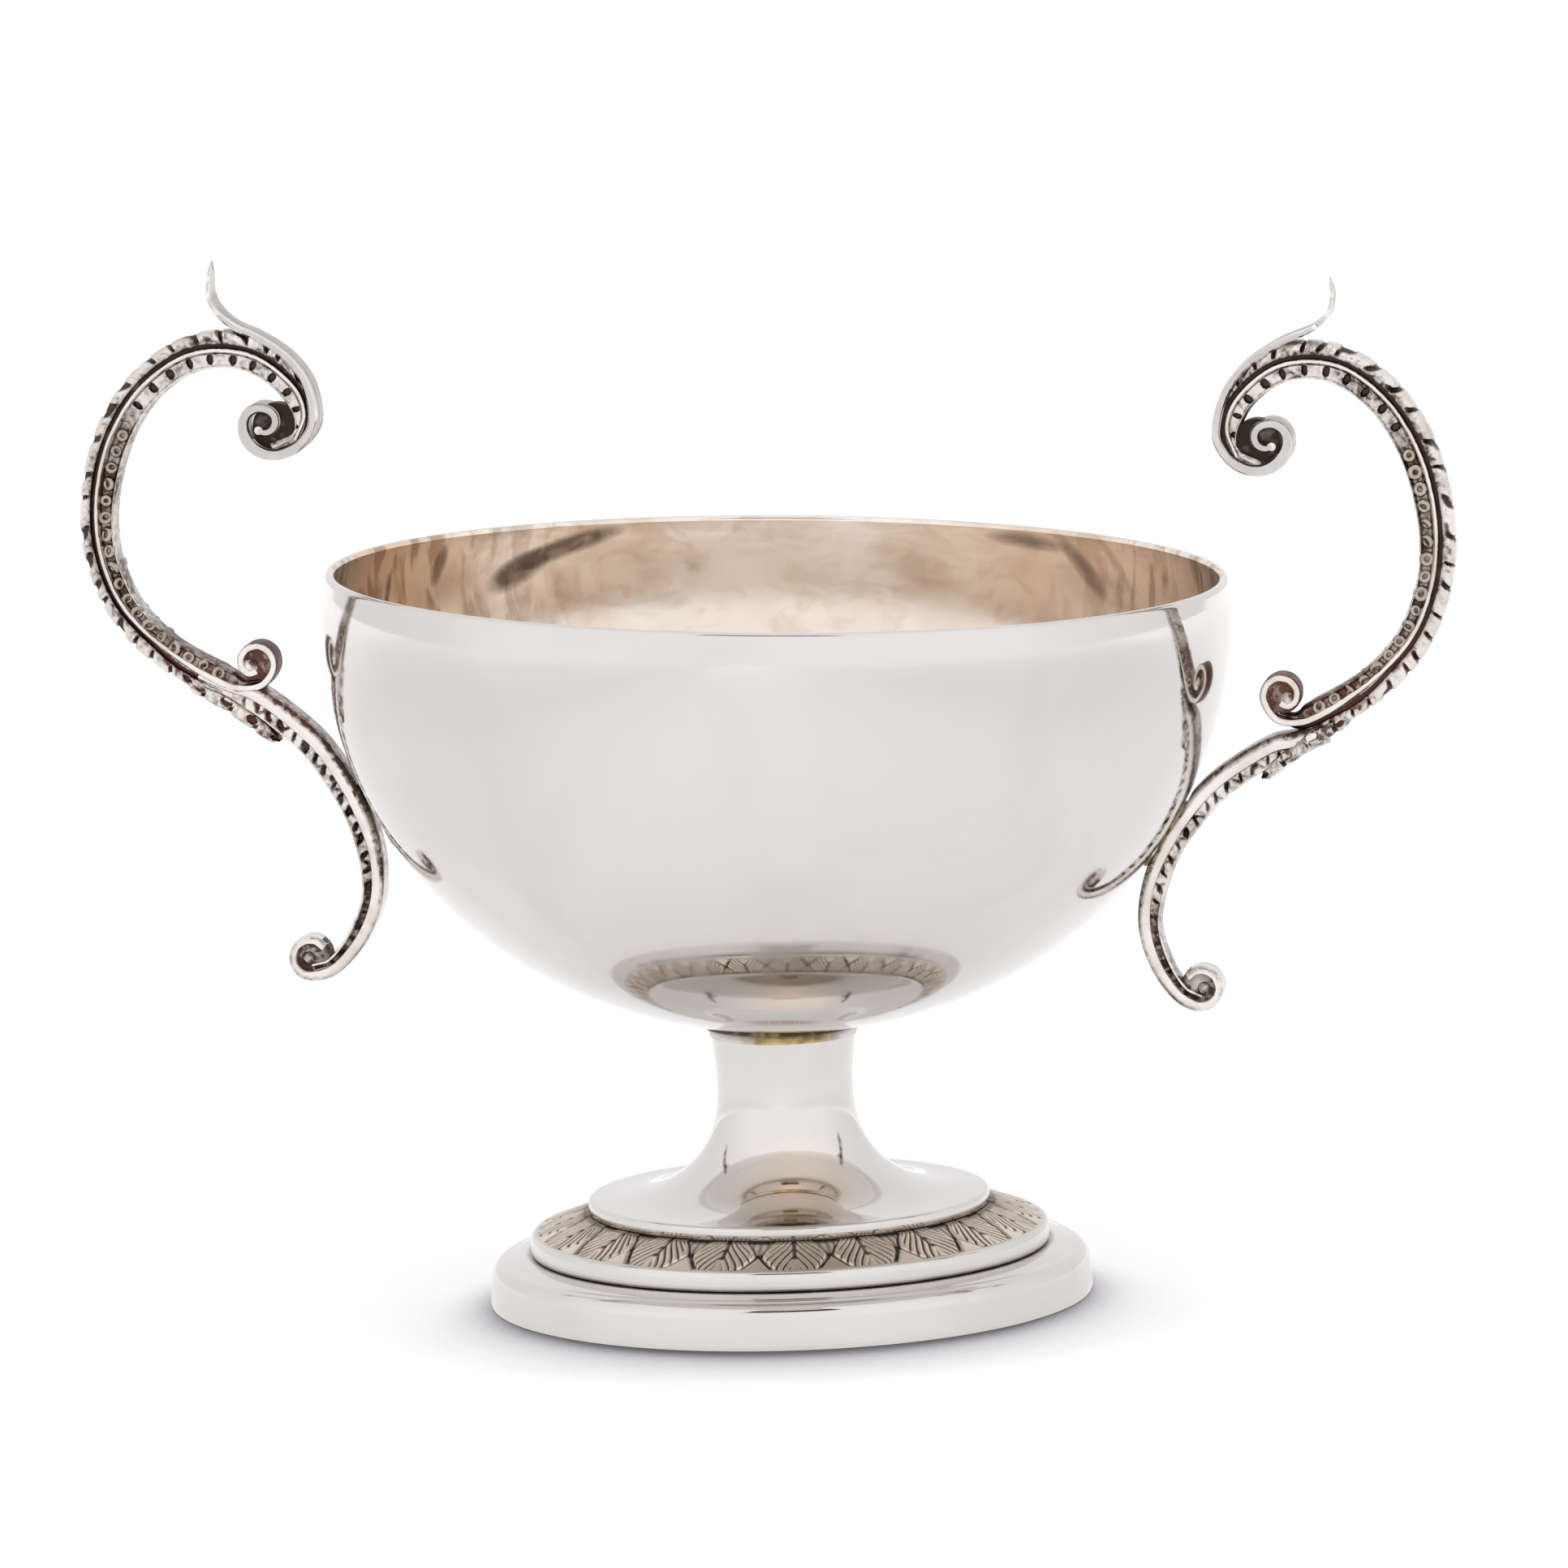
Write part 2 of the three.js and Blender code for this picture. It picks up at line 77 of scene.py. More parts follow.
class Slot(Enum):
    """Material slots of the record."""

    POLISHED = "polished_silver"
    CAST = "cast_silver"
    CHASED = "chased_silver"
    SOLDER = "solder"


class Side(Enum):
    """The two handles, and how far each is turned about the bowl's axis."""

    LEFT = math.pi
    RIGHT = 0.0


def ease(value: np.ndarray | float, low: float, high: float) -> np.ndarray | float:
    """Goes smoothly from 0 at low to 1 at high.

    Args:
        value: What is read.
        low: Where the step starts.
        high: Where it ends, which may be below low.

    Returns:
        The eased share.
    """
    share = np.clip((value - low) / (high - low), 0, 1)
    return share * share * (3 - 2 * share)


def cos_sin(degrees: float) -> tuple[float, float]:
    """Cosine and sine of an angle in degrees."""
    return math.cos(math.radians(degrees)), math.sin(math.radians(degrees))


def pulse(value: np.ndarray | float, pitch: float, width: float, soft: float) -> np.ndarray | float:
    """Repeats a bump with soft sides.

    Args:
        value: The place along the row.
        pitch: From one bump to the next.
        width: How wide a bump is at half its height.
        soft: How long each side takes.

    Returns:
        1 on a bump and 0 between bumps.
    """
    away = np.abs((value / pitch + 0.5) % 1 - 0.5) * pitch
    return ease(away, (width + soft) / 2, (width - soft) / 2)


def wobble(length: float, seed: float) -> float:
    """Slow unevenness of hand work along a length, from -1 to 1."""
    waves = ((0.83, 1), (1.37, 2.1), (2.9, 0.7))
    return sum(math.sin(length * pace + shift * seed) for pace, shift in waves) / len(waves)


@dataclass
class Shell:
    """A closed surface: points in millimetres, faces and how sheltered from polish each point is."""

    points: np.ndarray
    faces: list[tuple[int, ...]]
    shade: np.ndarray

    @staticmethod
    def together(shells: Sequence["Shell"]) -> "Shell":
        """Puts shells into one.

        Args:
            shells: The shells, in any order.

        Returns:
            One shell with all their faces.
        """
        faces: list[tuple[int, ...]] = []
        start = 0
        for shell in shells:
            faces += [tuple(corner + start for corner in face) for face in shell.faces]
            start += len(shell.points)
        points = np.concatenate([shell.points for shell in shells])
        return Shell(points, faces, np.concatenate([shell.shade for shell in shells]))

    @staticmethod
    def tube(
        rings: Sequence[np.ndarray], shades: Sequence[np.ndarray], hubs: Points, ends: Sequence[float]
    ) -> "Shell":
        """Joins rings of points into a tube, with each end closed round a hub.

        Args:
            rings: The rings, all with as many points.
            shades: The shade of each ring's points.
            hubs: The middle of the first end and of the last one.
            ends: The shade of each hub.

        Returns:
            The closed tube.
        """
        count, last = len(rings[0]), (len(rings) - 1) * len(rings[0])
        faces: list[tuple[int, ...]] = []
        for first in range(0, last, count):
            for k in range(count):
                a, b = first + k, first + (k + 1) % count
                faces.append((a, b, b + count, a + count))
        hub = last + count
        for k in range(count):
            following = (k + 1) % count
            faces += [(hub, following, k), (hub + 1, last + k, last + following)]
        return Shell(np.vstack([*rings, *hubs]), faces, np.concatenate([*shades, ends]))


class Line:
    """A smooth line through points of a handle's drawing, read by its length."""

    def __init__(self, points: Points, fine: int = 40) -> None:
        """Rounds the corners of a drawn line.

        Args:
            points: Places that the line goes through.
            fine: How many steps each stretch gets.
        """
        knots = np.array(points, float)
        knots = np.vstack([2 * knots[0] - knots[1], knots, 2 * knots[-1] - knots[-2]])
        part = np.linspace(0, 1, fine, endpoint=False)[:, None]
        stretches = [self._stretch(knots[i : i + 4], part) for i in range(len(knots) - 3)]
        self.dense = np.vstack([*stretches, knots[-2]])
        steps = np.linalg.norm(np.diff(self.dense, axis=0), axis=1)
        self.lengths = np.concatenate([[0], np.cumsum(steps)])
        self.length = float(self.lengths[-1])

    @staticmethod
    def _stretch(four: np.ndarray, part: np.ndarray) -> np.ndarray:
        """Runs a centripetal spline between the middle two of four points.

        Args:
            four: The points.
            part: Shares of the way, in one column.

        Returns:
            A point for each share.
        """
        first, rise, last = np.diff(four, axis=0)
        before, here, after = np.sqrt(np.linalg.norm([first, rise, last], axis=1))
        leave = rise + here * (first / before - (first + rise) / (before + here))
        arrive = rise + here * (last / after - (rise + last) / (here + after))
        bend, twist = 3 * rise - 2 * leave - arrive, leave + arrive - 2 * rise
        return four[1] + part * leave + part**2 * bend + part**3 * twist

    def beside(self, place: float, away: float | np.ndarray = 0) -> np.ndarray:
        """Reads the line, or a line beside it.

        Args:
            place: From 0 at its start to 1 at its end.
            away: How far to the left of its travel, or many such lengths in one column.

        Returns:
            The point there, or a row for each length.
        """
        there = place * self.length
        ahead, behind = min(there + LOOK_AHEAD, self.length), max(there - LOOK_AHEAD, 0)
        along = self._point(ahead) - self._point(behind)
        along = along / np.linalg.norm(along)
        return self._point(there) + away * np.array([-along[1], along[0]])

    def _point(self, length: float) -> np.ndarray:
        """The point at a length from the start."""
        return np.array([np.interp(length, self.lengths, self.dense[:, k]) for k in (0, 1)])


def swept(line: Line, rows: int, section: Section, start: float = 0, end: float = 1) -> Shell:
    """Carries a section along a line in the handle's plane.

    Args:
        line: The line that the section follows.
        rows: How many steps it takes.
        section: Gives, for a place and a length, corners as (across, depth) and their shade.
        start: Place of the first section.
        end: Place of the last one.

    Returns:
        A tube with both its ends closed.
    """
    points, shades = [], []
    for row in range(rows + 1):
        place = start + (end - start) * row / rows
        corners, shade = section(place, place * line.length)
        flat = line.beside(place, corners[:, :1])
        points.append(np.column_stack([flat[:, 0], corners[:, 1], flat[:, 1]]))
        shades.append(shade)
    hubs = [points[0].mean(0), points[-1].mean(0)]
    return Shell.tube(points, shades, hubs, [shades[0].mean(), shades[-1].mean()])


def dome(
    eye: np.ndarray, radius: float, half: float, swell: float, shade: tuple[float, float], steps: int = 28
) -> Shell:
    """A round boss that goes through the handle, with swelling faces.

    Args:
        eye: Its centre in the handle's plane.
        radius: Of its rim.
        half: Half its thickness at the rim.
        swell: How much thicker each face is at the middle.
        shade: In the middle of a face and at the rim.
        steps: Corners round the rim.

    Returns:
        The boss.
    """
    angles = np.arange(steps) * TURN / steps
    outline = [(part, -half - swell * math.cos(part * math.pi / 2)) for part in (0.25, 0.5, 0.75, 0.92, 1)]
    outline += [(part, -depth) for part, depth in reversed(outline)]
    rings, shades = [], []
    for part, depth in outline:
        across, up = eye[0] + radius * part * np.cos(angles), eye[1] + radius * part * np.sin(angles)
        rings.append(np.column_stack([across, np.full(steps, depth), up]))
        shades.append(np.full(steps, shade[0] + (shade[1] - shade[0]) * part**2))
    hubs = [[eye[0], way * (half + swell), eye[1]] for way in (-1, 1)]
    return Shell.tube(rings, shades, hubs, [shade[0], shade[0]])


def both_faces(across: Sequence[float], depth: Sequence[float], shade: Sequence[float]) -> ArrayPair:
    """Makes a whole section of its front half.

    Args:
        across: Where each corner of the front half is, across the section.
        depth: How far each is from the middle plane.
        shade: How sheltered each is.

    Returns:
        Corners all the way round, and their shade.
    """
    front = np.column_stack([across, -np.asarray(depth)])
    back = np.column_stack([across, depth])[::-1]
    return np.vstack([front, back]), np.concatenate([shade, shade[::-1]])


def rounded_bar(low: float, high: float, half: float, corner: float) -> np.ndarray:
    """Corners of a bar's section with each corner rounded in three steps.

    Args:
        low: Its lowest place across.
        high: Its highest.
        half: Half its depth.
        corner: The rounding's radius, which the bar's size limits.

    Returns:
        Corners as (across, depth), all the way round.
    """
    corner = min(corner, (high - low) * 0.49, half * 0.98)
    centres = [(high - corner, half - corner), (low + corner, half - corner)]
    centres += [(low + corner, corner - half), (high - corner, corner - half)]
    corners = []
    for turn, (across, depth) in enumerate(centres):
        for step in range(4):
            angle = (turn + step / 3) * math.pi / 2
            corners.append((across + corner * math.cos(angle), depth + corner * math.sin(angle)))
    return np.array(corners)


def linked(name: str, data: bpy.types.ID) -> bpy.types.Object:
    """Puts something into the scene.

    Args:
        name: The object's name.
        data: A mesh, a lamp or a camera.

    Returns:
        The object.
    """
    thing = bpy.data.objects.new(name, data)
    bpy.context.scene.collection.objects.link(thing)
    return thing


def shaded_mesh(
    name: str, points: Points, faces: Sequence[tuple[int, ...]], shade: Sequence[float]
) -> bpy.types.Mesh:
    """Makes a mesh that knows how sheltered each of its points is.

    Args:
        name: The mesh's name.
        points: Its points in millimetres.
        faces: Its faces, or none for an outline.
        shade: The shade of each point.

    Returns:
        The mesh, in metres.
    """
    mesh = bpy.data.meshes.new(name)
    mesh.from_pydata((np.asarray(points, float) * MM).tolist(), [], faces)
    mesh.attributes.new(SHADE, "FLOAT", "POINT").data.foreach_set("value", np.asarray(shade, np.float32))
    return mesh


def finished(piece: bpy.types.Object, crease: float = 40) -> bpy.types.Object:
    """Turns a piece's faces outwards, shades it smooth and keeps its creases sharp.

    Args:
        piece: An object with a closed mesh.
        crease: Edges that turn by more than this many degrees stay sharp.

    Returns:
        The same object.
    """
    work = bmesh.new()
    work.from_mesh(piece.data)
    bmesh.ops.recalc_face_normals(work, faces=work.faces)
    for face in work.faces:
        face.smooth = True
    for edge in work.edges:
        edge.smooth = edge.calc_face_angle(0) < math.radians(crease)
    work.to_mesh(piece.data)
    work.free()
    return piece


class Sums:
    """Sums on the values of a shader tree."""

    def __init__(self, tree: bpy.types.NodeTree) -> None:
        """Keeps the tree that gets the nodes."""
        self.tree = tree

    def feed(self, socket: bpy.types.NodeSocket, value: object) -> None:
        """Links a socket to another, or sets its value.

        Args:
            socket: What is fed.
            value: A socket, a number, a vector or a colour.
        """
        if isinstance(value, bpy.types.NodeSocket):
            self.tree.links.new(value, socket)
        elif isinstance(value, tuple) and len(value) == 3 and socket.type == "RGBA":
            socket.default_value = (*value, 1)
        else:
            socket.default_value = value

    def math(self, operation: str, first: object, second: object = 0.0) -> bpy.types.NodeSocket:
        """Works out one sum, held between 0 and 1.

        Args:
            operation: Which sum.
            first: A socket or a number.
            second: The other one.

        Returns:
            The result.
        """
        node = self.tree.nodes.new("ShaderNodeMath")
        node.operation = operation
        node.use_clamp = True
        self.feed(node.inputs[0], first)
        self.feed(node.inputs[1], second)
        return node.outputs[0]

    def times(self, first: object, second: object) -> bpy.types.NodeSocket:
        """Multiplies two values."""
        return self.math("MULTIPLY", first, second)

    def vector(
        self, operation: str, first: object, second: Sequence[float] = (0, 0, 0)
    ) -> bpy.types.NodeOutputs:
        """Works out one sum on vectors.

        Args:
            operation: Which sum.
            first: A vector's socket.
            second: The other vector.

        Returns:
            The sum's outputs.
        """
        node = self.tree.nodes.new("ShaderNodeVectorMath")
        node.operation = operation
        self.feed(node.inputs[0], first)
        node.inputs[1].default_value = second
        return node.outputs

    def spread(
        self, value: object, low: float, high: float, first: float = 0, last: float = 1
    ) -> bpy.types.NodeSocket:
        """Stretches a part of a value's range over another range, held at its ends.

        Args:
            value: A socket.
            low: What becomes the first value.
            high: What becomes the last value.
            first: The result at low.
            last: The result at high.

        Returns:
            The new value.
        """
        node = self.tree.nodes.new("ShaderNodeMapRange")
        for name, number in (("From Min", low), ("From Max", high), ("To Min", first), ("To Max", last)):
            node.inputs[name].default_value = number
        self.feed(node.inputs["Value"], value)
        return node.outputs["Result"]


class Bench(Sums):
    """A material in the making: its shader and the nodes that feed it."""

    def __init__(self, name: str) -> None:
        """Starts a material.

        Args:
            name: The material's name.
        """
        self.material = bpy.data.materials.new(name)
        self.material.use_nodes = True
        super().__init__(self.material.node_tree)
        self.shader = self.tree.nodes["Principled BSDF"]
        self.object_place = self.tree.nodes.new("ShaderNodeTexCoord").outputs["Object"]

    def set(self, name: str, value: object) -> None:
        """Sets or feeds one of the shader's sockets."""
        self.feed(self.shader.inputs[name], value)

    def noise(
        self, size: float, detail: float = 3, stretch: Colour = (1, 1, 1), turn: float = 0, warp: float = 0
    ) -> bpy.types.NodeSocket:
        """Cloudy noise on the piece's own coordinates.

        Args:
            size: Of one cloud, in millimetres.
            detail: How many finer layers it has.
            stretch: How much longer the clouds are along X, Y and Z.
            turn: How far the pattern is turned about Y, in degrees.
            warp: How much the clouds bend.

        Returns:
            A value from 0 to 1.
        """
        mapping = self.tree.nodes.new("ShaderNodeMapping")
        mapping.inputs["Scale"].default_value = [1 / part for part in stretch]
        mapping.inputs["Rotation"].default_value = (0, math.radians(turn), 0)
        self.feed(mapping.inputs["Vector"], self.object_place)
        node = self.tree.nodes.new("ShaderNodeTexNoise")
        node.inputs["Scale"].default_value = 1 / (size * MM)
        node.inputs["Detail"].default_value = detail
        node.inputs["Distortion"].default_value = warp
        self.feed(node.inputs["Vector"], mapping.outputs["Vector"])
        return node.outputs[0]

    def near(self, place: Colour, core: float, reach: float) -> bpy.types.NodeSocket:
        """Marks one spot on the piece.

        Args:
            place: The spot's middle, in millimetres.
            core: How far from it the mark is whole.
            reach: How far from it the mark ends.

        Returns:
            1 at the spot and 0 away from it.
        """
        away = self.vector("DISTANCE", self.object_place, [part * MM for part in place])["Value"]
        return self.spread(away, core * MM, reach * MM, 1, 0)

    def smear(self, centre: Colour, way: Colour, half: float, wide: float) -> bpy.types.NodeSocket:
        """Marks a long patch that fades at its edge.

        Args:
            centre: The patch's middle, in millimetres.
            way: The direction it lies in, of length 1.
            half: Half its length, in millimetres.
            wide: Half its width.

        Returns:
            1 in the middle of the patch and 0 outside it.
        """
        offset = self.vector("SUBTRACT", self.object_place, [part * MM for part in centre])[0]
        ahead = self.vector("DOT_PRODUCT", offset, way)["Value"]
        reach = self.vector("LENGTH", offset)["Value"]
        ahead = self.times(ahead, ahead)
        beside = self.math("SUBTRACT", self.times(reach, reach), ahead)
        ahead = self.times(ahead, 0.5 / (half * MM) ** 2)
        beside = self.times(beside, 0.5 / (wide * MM) ** 2)
        return self.spread(self.math("ADD", ahead, beside), 0.12, 0.5, 1, 0)

    def along(self, way: Colour) -> bpy.types.NodeSocket:
        """How far along a direction a place is, in metres."""
        return self.vector("DOT_PRODUCT", self.object_place, way)["Value"]

    def openness(self, reach: float, way: Colour) -> bpy.types.NodeSocket:
        """How open the space round a surface is.

        Args:
            reach: How far it looks, in millimetres.
            way: The direction that it looks in most.

        Returns:
            1 in the open, less beside something.
        """
        node = self.tree.nodes.new("ShaderNodeAmbientOcclusion")
        node.inputs["Distance"].default_value = reach * MM
        normal = self.tree.nodes.new("ShaderNodeCombineXYZ")
        for axis in range(3):
            normal.inputs[axis].default_value = way[axis]
        self.tree.links.new(normal.outputs["Vector"], node.inputs["Normal"])
        return node.outputs["AO"]

    def attribute(self, name: str) -> bpy.types.NodeSocket:
        """Reads one of the mesh's own values."""
        node = self.tree.nodes.new("ShaderNodeAttribute")
        node.attribute_name = name
        return node.outputs["Fac"]

    def blend(self, share: object, first: object, second: object) -> bpy.types.NodeSocket:
        """Mixes two colours.

        Args:
            share: From 0 to 1.
            first: The colour at 0.
            second: The colour at 1.

        Returns:
            The mixed colour.
        """
        node = self.tree.nodes.new("ShaderNodeMix")
        node.data_type = "RGBA"
        for index, value in ((0, share), (6, first), (7, second)):
            self.feed(node.inputs[index], value)
        return node.outputs[2]

    def bump(self, layers: Sequence[tuple[bpy.types.NodeSocket, float]]) -> None:
        """Lays bumps over each other on the shader's normal.

        Args:
            layers: Height sockets, each with how many millimetres it stands up.
        """
        normal = None
        for height, rise in layers:
            node = self.tree.nodes.new("ShaderNodeBump")
            node.inputs["Distance"].default_value = rise * MM
            self.feed(node.inputs["Height"], height)
            if normal is not None:
                self.feed(node.inputs["Normal"], normal)
            normal = node.outputs["Normal"]
        self.set("Normal", normal)


@dataclass(frozen=True)
class SilverFinish:
    """Silver with clouds of tarnish, fine scratches and a darker patina in its recesses."""

    name: str
    clean: Colour = (0.71, 0.685, 0.66)
    tarnished: Colour = (0.6, 0.57, 0.535)
    patina: Colour = (0.045, 0.03, 0.022)
    roughness: float = 0.05
    smudge: float = 0.07
    cloud: float = 22
    tarnish: float = 0.45
    hammer: float = 0.02
    grain: float = 0.0015
    speckle: float = 0
    pitting: float = 0.07
    blush: Colour = (0.13, 0.06, 0.045)
    blush_height: float = 0
    blush_low: tuple[float, float] = (12, 8)
    blush_high: float = 6
    stain: Colour = (0, 0, 0)
    stained: Colour = (0.97, 0.84, 0.7)
    stain_core: float = 2
    stain_reach: float = 0

    def make(self) -> bpy.types.Material:
        """Builds the material.

        Returns:
            A metal whose recesses follow the mesh's shade.
        """
        bench = Bench(self.name)
        clouds = bench.noise(self.cloud, 5, warp=0.6)
        fine = bench.noise(2.2, 4)
        scratches = bench.noise(0.9, 2, stretch=(1, 1, 14), turn=63)
        share = bench.spread(clouds, 0.42, 0.8, 0, self.tarnish)
        colour = bench.blend(share, self.clean, self.tarnished)
        shade = bench.attribute(SHADE)
        dirt = bench.times(shade, bench.spread(fine, 0.2, 0.55, 0.72, 1))
        layers = [(clouds, self.hammer), (scratches, self.grain)]
        if self.speckle:
            spots = bench.times(bench.noise(0.85, 3, warp=0.5), bench.noise(4.5, 2))
            spots = bench.spread(spots, 0.2, 0.4, 0, self.speckle)
            dirt = bench.math("ADD", dirt, bench.times(spots, bench.spread(shade, 0.02, 0.12)))
            layers.append((bench.noise(1.3, 3), self.pitting))
        patina = self.patina
        if self.blush_height:
            level, middle = bench.along((0, 0, 1)), self.blush_height
            below = bench.spread(level, middle * MM, (middle + self.blush_high) * MM, 1, 0)
            above = bench.spread(level, *((middle - down) * MM for down in self.blush_low))
            patina = bench.blend(bench.times(below, above), self.patina, self.blush)
        if self.stain_reach:
            spot = bench.near(self.stain, self.stain_core, self.stain_reach)
            share = bench.times(spot, bench.spread(clouds, 0.3, 0.6, 0.5, 1))
            colour = bench.blend(share, colour, self.stained)
        colour = bench.blend(bench.spread(dirt, 0.05, 0.9), colour, patina)
        bench.set("Base Color", colour)
        bench.set("Metallic", 1.0)
        rough = bench.spread(fine, 0.3, 0.75, self.roughness, self.roughness + self.smudge)
        bench.set("Roughness", bench.math("ADD", rough, bench.times(shade, 0.3)))
        bench.bump(layers)
        return bench.material


@dataclass(frozen=True)
class BowlFinish:
    """Polished silver outside; inside, where the mesh's shade is 1, a warm tarnish with dark streaks that
    are partly tarnish and partly painted reflections, and painted shade at the two ends.
    """

    name: str
    outside: Colour = (0.715, 0.687, 0.663)
    haze: Colour = (0.665, 0.638, 0.613)
    inside: Colour = (0.82, 0.725, 0.635)
    bright: Colour = (0.95, 0.91, 0.86)
    # Painted shade: the darker, more orange colour of the inside's two ends, towards the handles.
    end: Colour = (0.8, 0.61, 0.44)
    tan: Colour = (0.68, 0.56, 0.45)
    # Painted shade: dark stripes at the inside's two ends.
    painted_end_stripe: Colour = (0.36, 0.24, 0.16)
    # Dark streaks inside: partly tarnish, partly painted dark reflections.
    streak_and_painted_reflection: Colour = (0.12, 0.08, 0.058)
    roughness: float = 0.05
    radius: float = 62.8
    rim: float = 104
    # Placed dark streaks, partly tarnish and partly painted reflections: around, below the rim, climb, half
    # length and half width.
    smears_and_painted_reflections: tuple[tuple[float, float, float, float, float], ...] = (
        (-37, 1.9, 13, 16.5, 1.7),
        (-44, 4.6, 20, 7, 2.4),
        (-58, 1.8, 62, 3.8, 1.5),
        (29, 2.8, -6, 8, 1.7),
        (38, 6, -42, 8, 2.1),
        (45, 6, -48, 7.5, 1.7),
        (55, 6, -55, 7, 1.5),
        (-70, 4, 70, 4, 0.9),
    )

    def make(self) -> bpy.types.Material:
        """Builds the material.

        Returns:
            The bowl's metal.
        """
        bench = Bench(self.name)
        inner = bench.attribute(SHADE)
        haze = bench.noise(30, 5, warp=0.8)
        outside = bench.blend(bench.spread(haze, 0.4, 0.75), self.outside, self.haze)
        warm = bench.noise(26, 3, stretch=(2.2, 1, 1), turn=-24, warp=0.5)
        inside = bench.blend(bench.spread(warm, 0.44, 0.6), self.inside, self.bright)
        # Dark streaks of noise: partly tarnish, partly painted dark reflections.
        dark = bench.noise(17, 4, stretch=(2.6, 1, 0.8), turn=24, warp=1.2)
        inside = bench.blend(bench.spread(dark, 0.6, 0.74, 0, 0.34), inside, self.streak_and_painted_reflection)
        mottle = bench.noise(5.5, 6, stretch=(1.6, 1, 1), warp=1.5)
        inside = bench.blend(bench.spread(mottle, 0.5, 0.66, 0, 0.5), inside, self.tan)
        # Painted shade: towards its two ends under the handles, the inside turns darker and more orange,
        # with dark stripes.
        ends = bench.spread(bench.math("ABSOLUTE", bench.along((1, 0, 0))), 0.03, 0.056)
        inside = bench.blend(bench.times(ends, bench.spread(warm, 0.3, 0.62, 1, 0.35)), inside, self.end)
        painted_end_stripes = bench.spread(bench.noise(3.4, 4, stretch=(1, 1, 3.5), warp=0.6), 0.48, 0.6, 0, 0.75)
        inside = bench.blend(bench.times(ends, painted_end_stripes), inside, self.painted_end_stripe)
        # Placed dark streaks: partly tarnish, partly painted dark reflections.
        ragged = bench.noise(4, 5, stretch=(2.5, 1, 1), turn=-20, warp=1)
        ragged = bench.spread(ragged, 0.35, 0.6, 0.6, 1)
        for around, below, climb, half, wide in self.smears_and_painted_reflections:
            angle, rise = math.radians(around), math.radians(climb)
            centre = (self.radius * math.sin(angle), self.radius * math.cos(angle), self.rim - below)
            way = (math.cos(angle) * math.cos(rise), -math.sin(angle) * math.cos(rise), math.sin(rise))
            mark = bench.times(bench.smear(centre, way, half, wide), ragged)
            inside = bench.blend(bench.times(mark, 0.9), inside, self.streak_and_painted_reflection)
        bench.set("Base Color", bench.blend(inner, outside, inside))
        bench.set("Metallic", bench.spread(inner, 0, 1, 1, 0.86))
        smear = bench.noise(7, 5, stretch=(1, 1, 2.5))
        rough = bench.spread(smear, 0.35, 0.75, self.roughness, self.roughness + 0.1)
        bench.set("Roughness", bench.math("ADD", rough, bench.spread(inner, 0, 1, 0, 0.06)))
        dents = bench.noise(13, 1)
        scratches = bench.noise(1.1, 2, stretch=(18, 1, 1), turn=8)
        bench.bump([(dents, 0.03), (scratches, 0.001)])
        return bench.material


@dataclass(frozen=True)
class SolderFinish:
    """Solder in a joint: silvery where it was cleaned, yellow and brown where old polish stays."""

    name: str
    clean: Colour = (0.66, 0.64, 0.615)
    bright: Colour = (0.62, 0.5, 0.22)
    dull: Colour = (0.3, 0.22, 0.12)
    crevice: Colour = (0.05, 0.035, 0.025)
    stain: Colour = (0, 0, 0)
    stain_reach: float = 1000
    roughness: float = 0.3

    def make(self) -> bpy.types.Material:
        """Builds the material.

        Returns:
            A dull metal with its stain where it is told.
        """
        bench = Bench(self.name)
        patches = bench.noise(2.4, 4, warp=0.7)
        stain = bench.blend(bench.spread(patches, 0.35, 0.62), self.bright, self.dull)
        share = bench.near(self.stain, self.stain_reach * 0.55, self.stain_reach)
        colour = bench.blend(share, self.clean, stain)
        dark = bench.times(bench.attribute(SHADE), bench.spread(patches, 0.25, 0.5, 0.6, 1))
        bench.set("Base Color", bench.blend(dark, colour, self.crevice))
        bench.set("Metallic", 1.0)
        bench.set("Roughness", bench.spread(patches, 0.3, 0.7, self.roughness, self.roughness + 0.25))
        bench.bump([(bench.noise(0.8, 3), 0.05)])
        return bench.material


class Finishes:
    """The materials of the cup, made once and shared by its pieces."""

    def __init__(self) -> None:
        """Makes every finish."""
        self.polished = SilverFinish("polished silver").make()
        self.cast = SilverFinish(
            "cast silver",
            clean=(0.85, 0.805, 0.755),
            tarnished=(0.58, 0.5, 0.43),
            patina=(0.08, 0.054, 0.04),
            roughness=0.2,
            cloud=7,
            tarnish=0.9,
            speckle=0.75,
            blush_height=92,
        ).make()
        self.stem = SilverFinish("stem silver", hammer=0.035, stain=(3, -15, 16.5), stain_reach=11).make()
        self.beads = SilverFinish(
            "channel beads",
            clean=(0.5, 0.43, 0.37),
            tarnished=(0.32, 0.26, 0.21),
            roughness=0.25,
            cloud=5,
            tarnish=1,
        ).make()
        self.ribbon = SilverFinish(
            "ribbon silver",
            clean=(0.82, 0.8, 0.775),
            tarnished=(0.64, 0.605, 0.565),
            roughness=0.16,
            cloud=8,
            tarnish=0.8,
        ).make()
        self.chased = SilverFinish(
            "chased silver",
            clean=(0.74, 0.65, 0.56),
            tarnished=(0.54, 0.46, 0.38),
            roughness=0.26,
            cloud=6,
            tarnish=0.9,
        ).make()
        self.bowl = BowlFinish("bowl silver").make()
        self.solder = SolderFinish("solder").make()
        self.stem_solder = SolderFinish("stem solder", stain=(3, -11, 38.3), stain_reach=8.5).make()


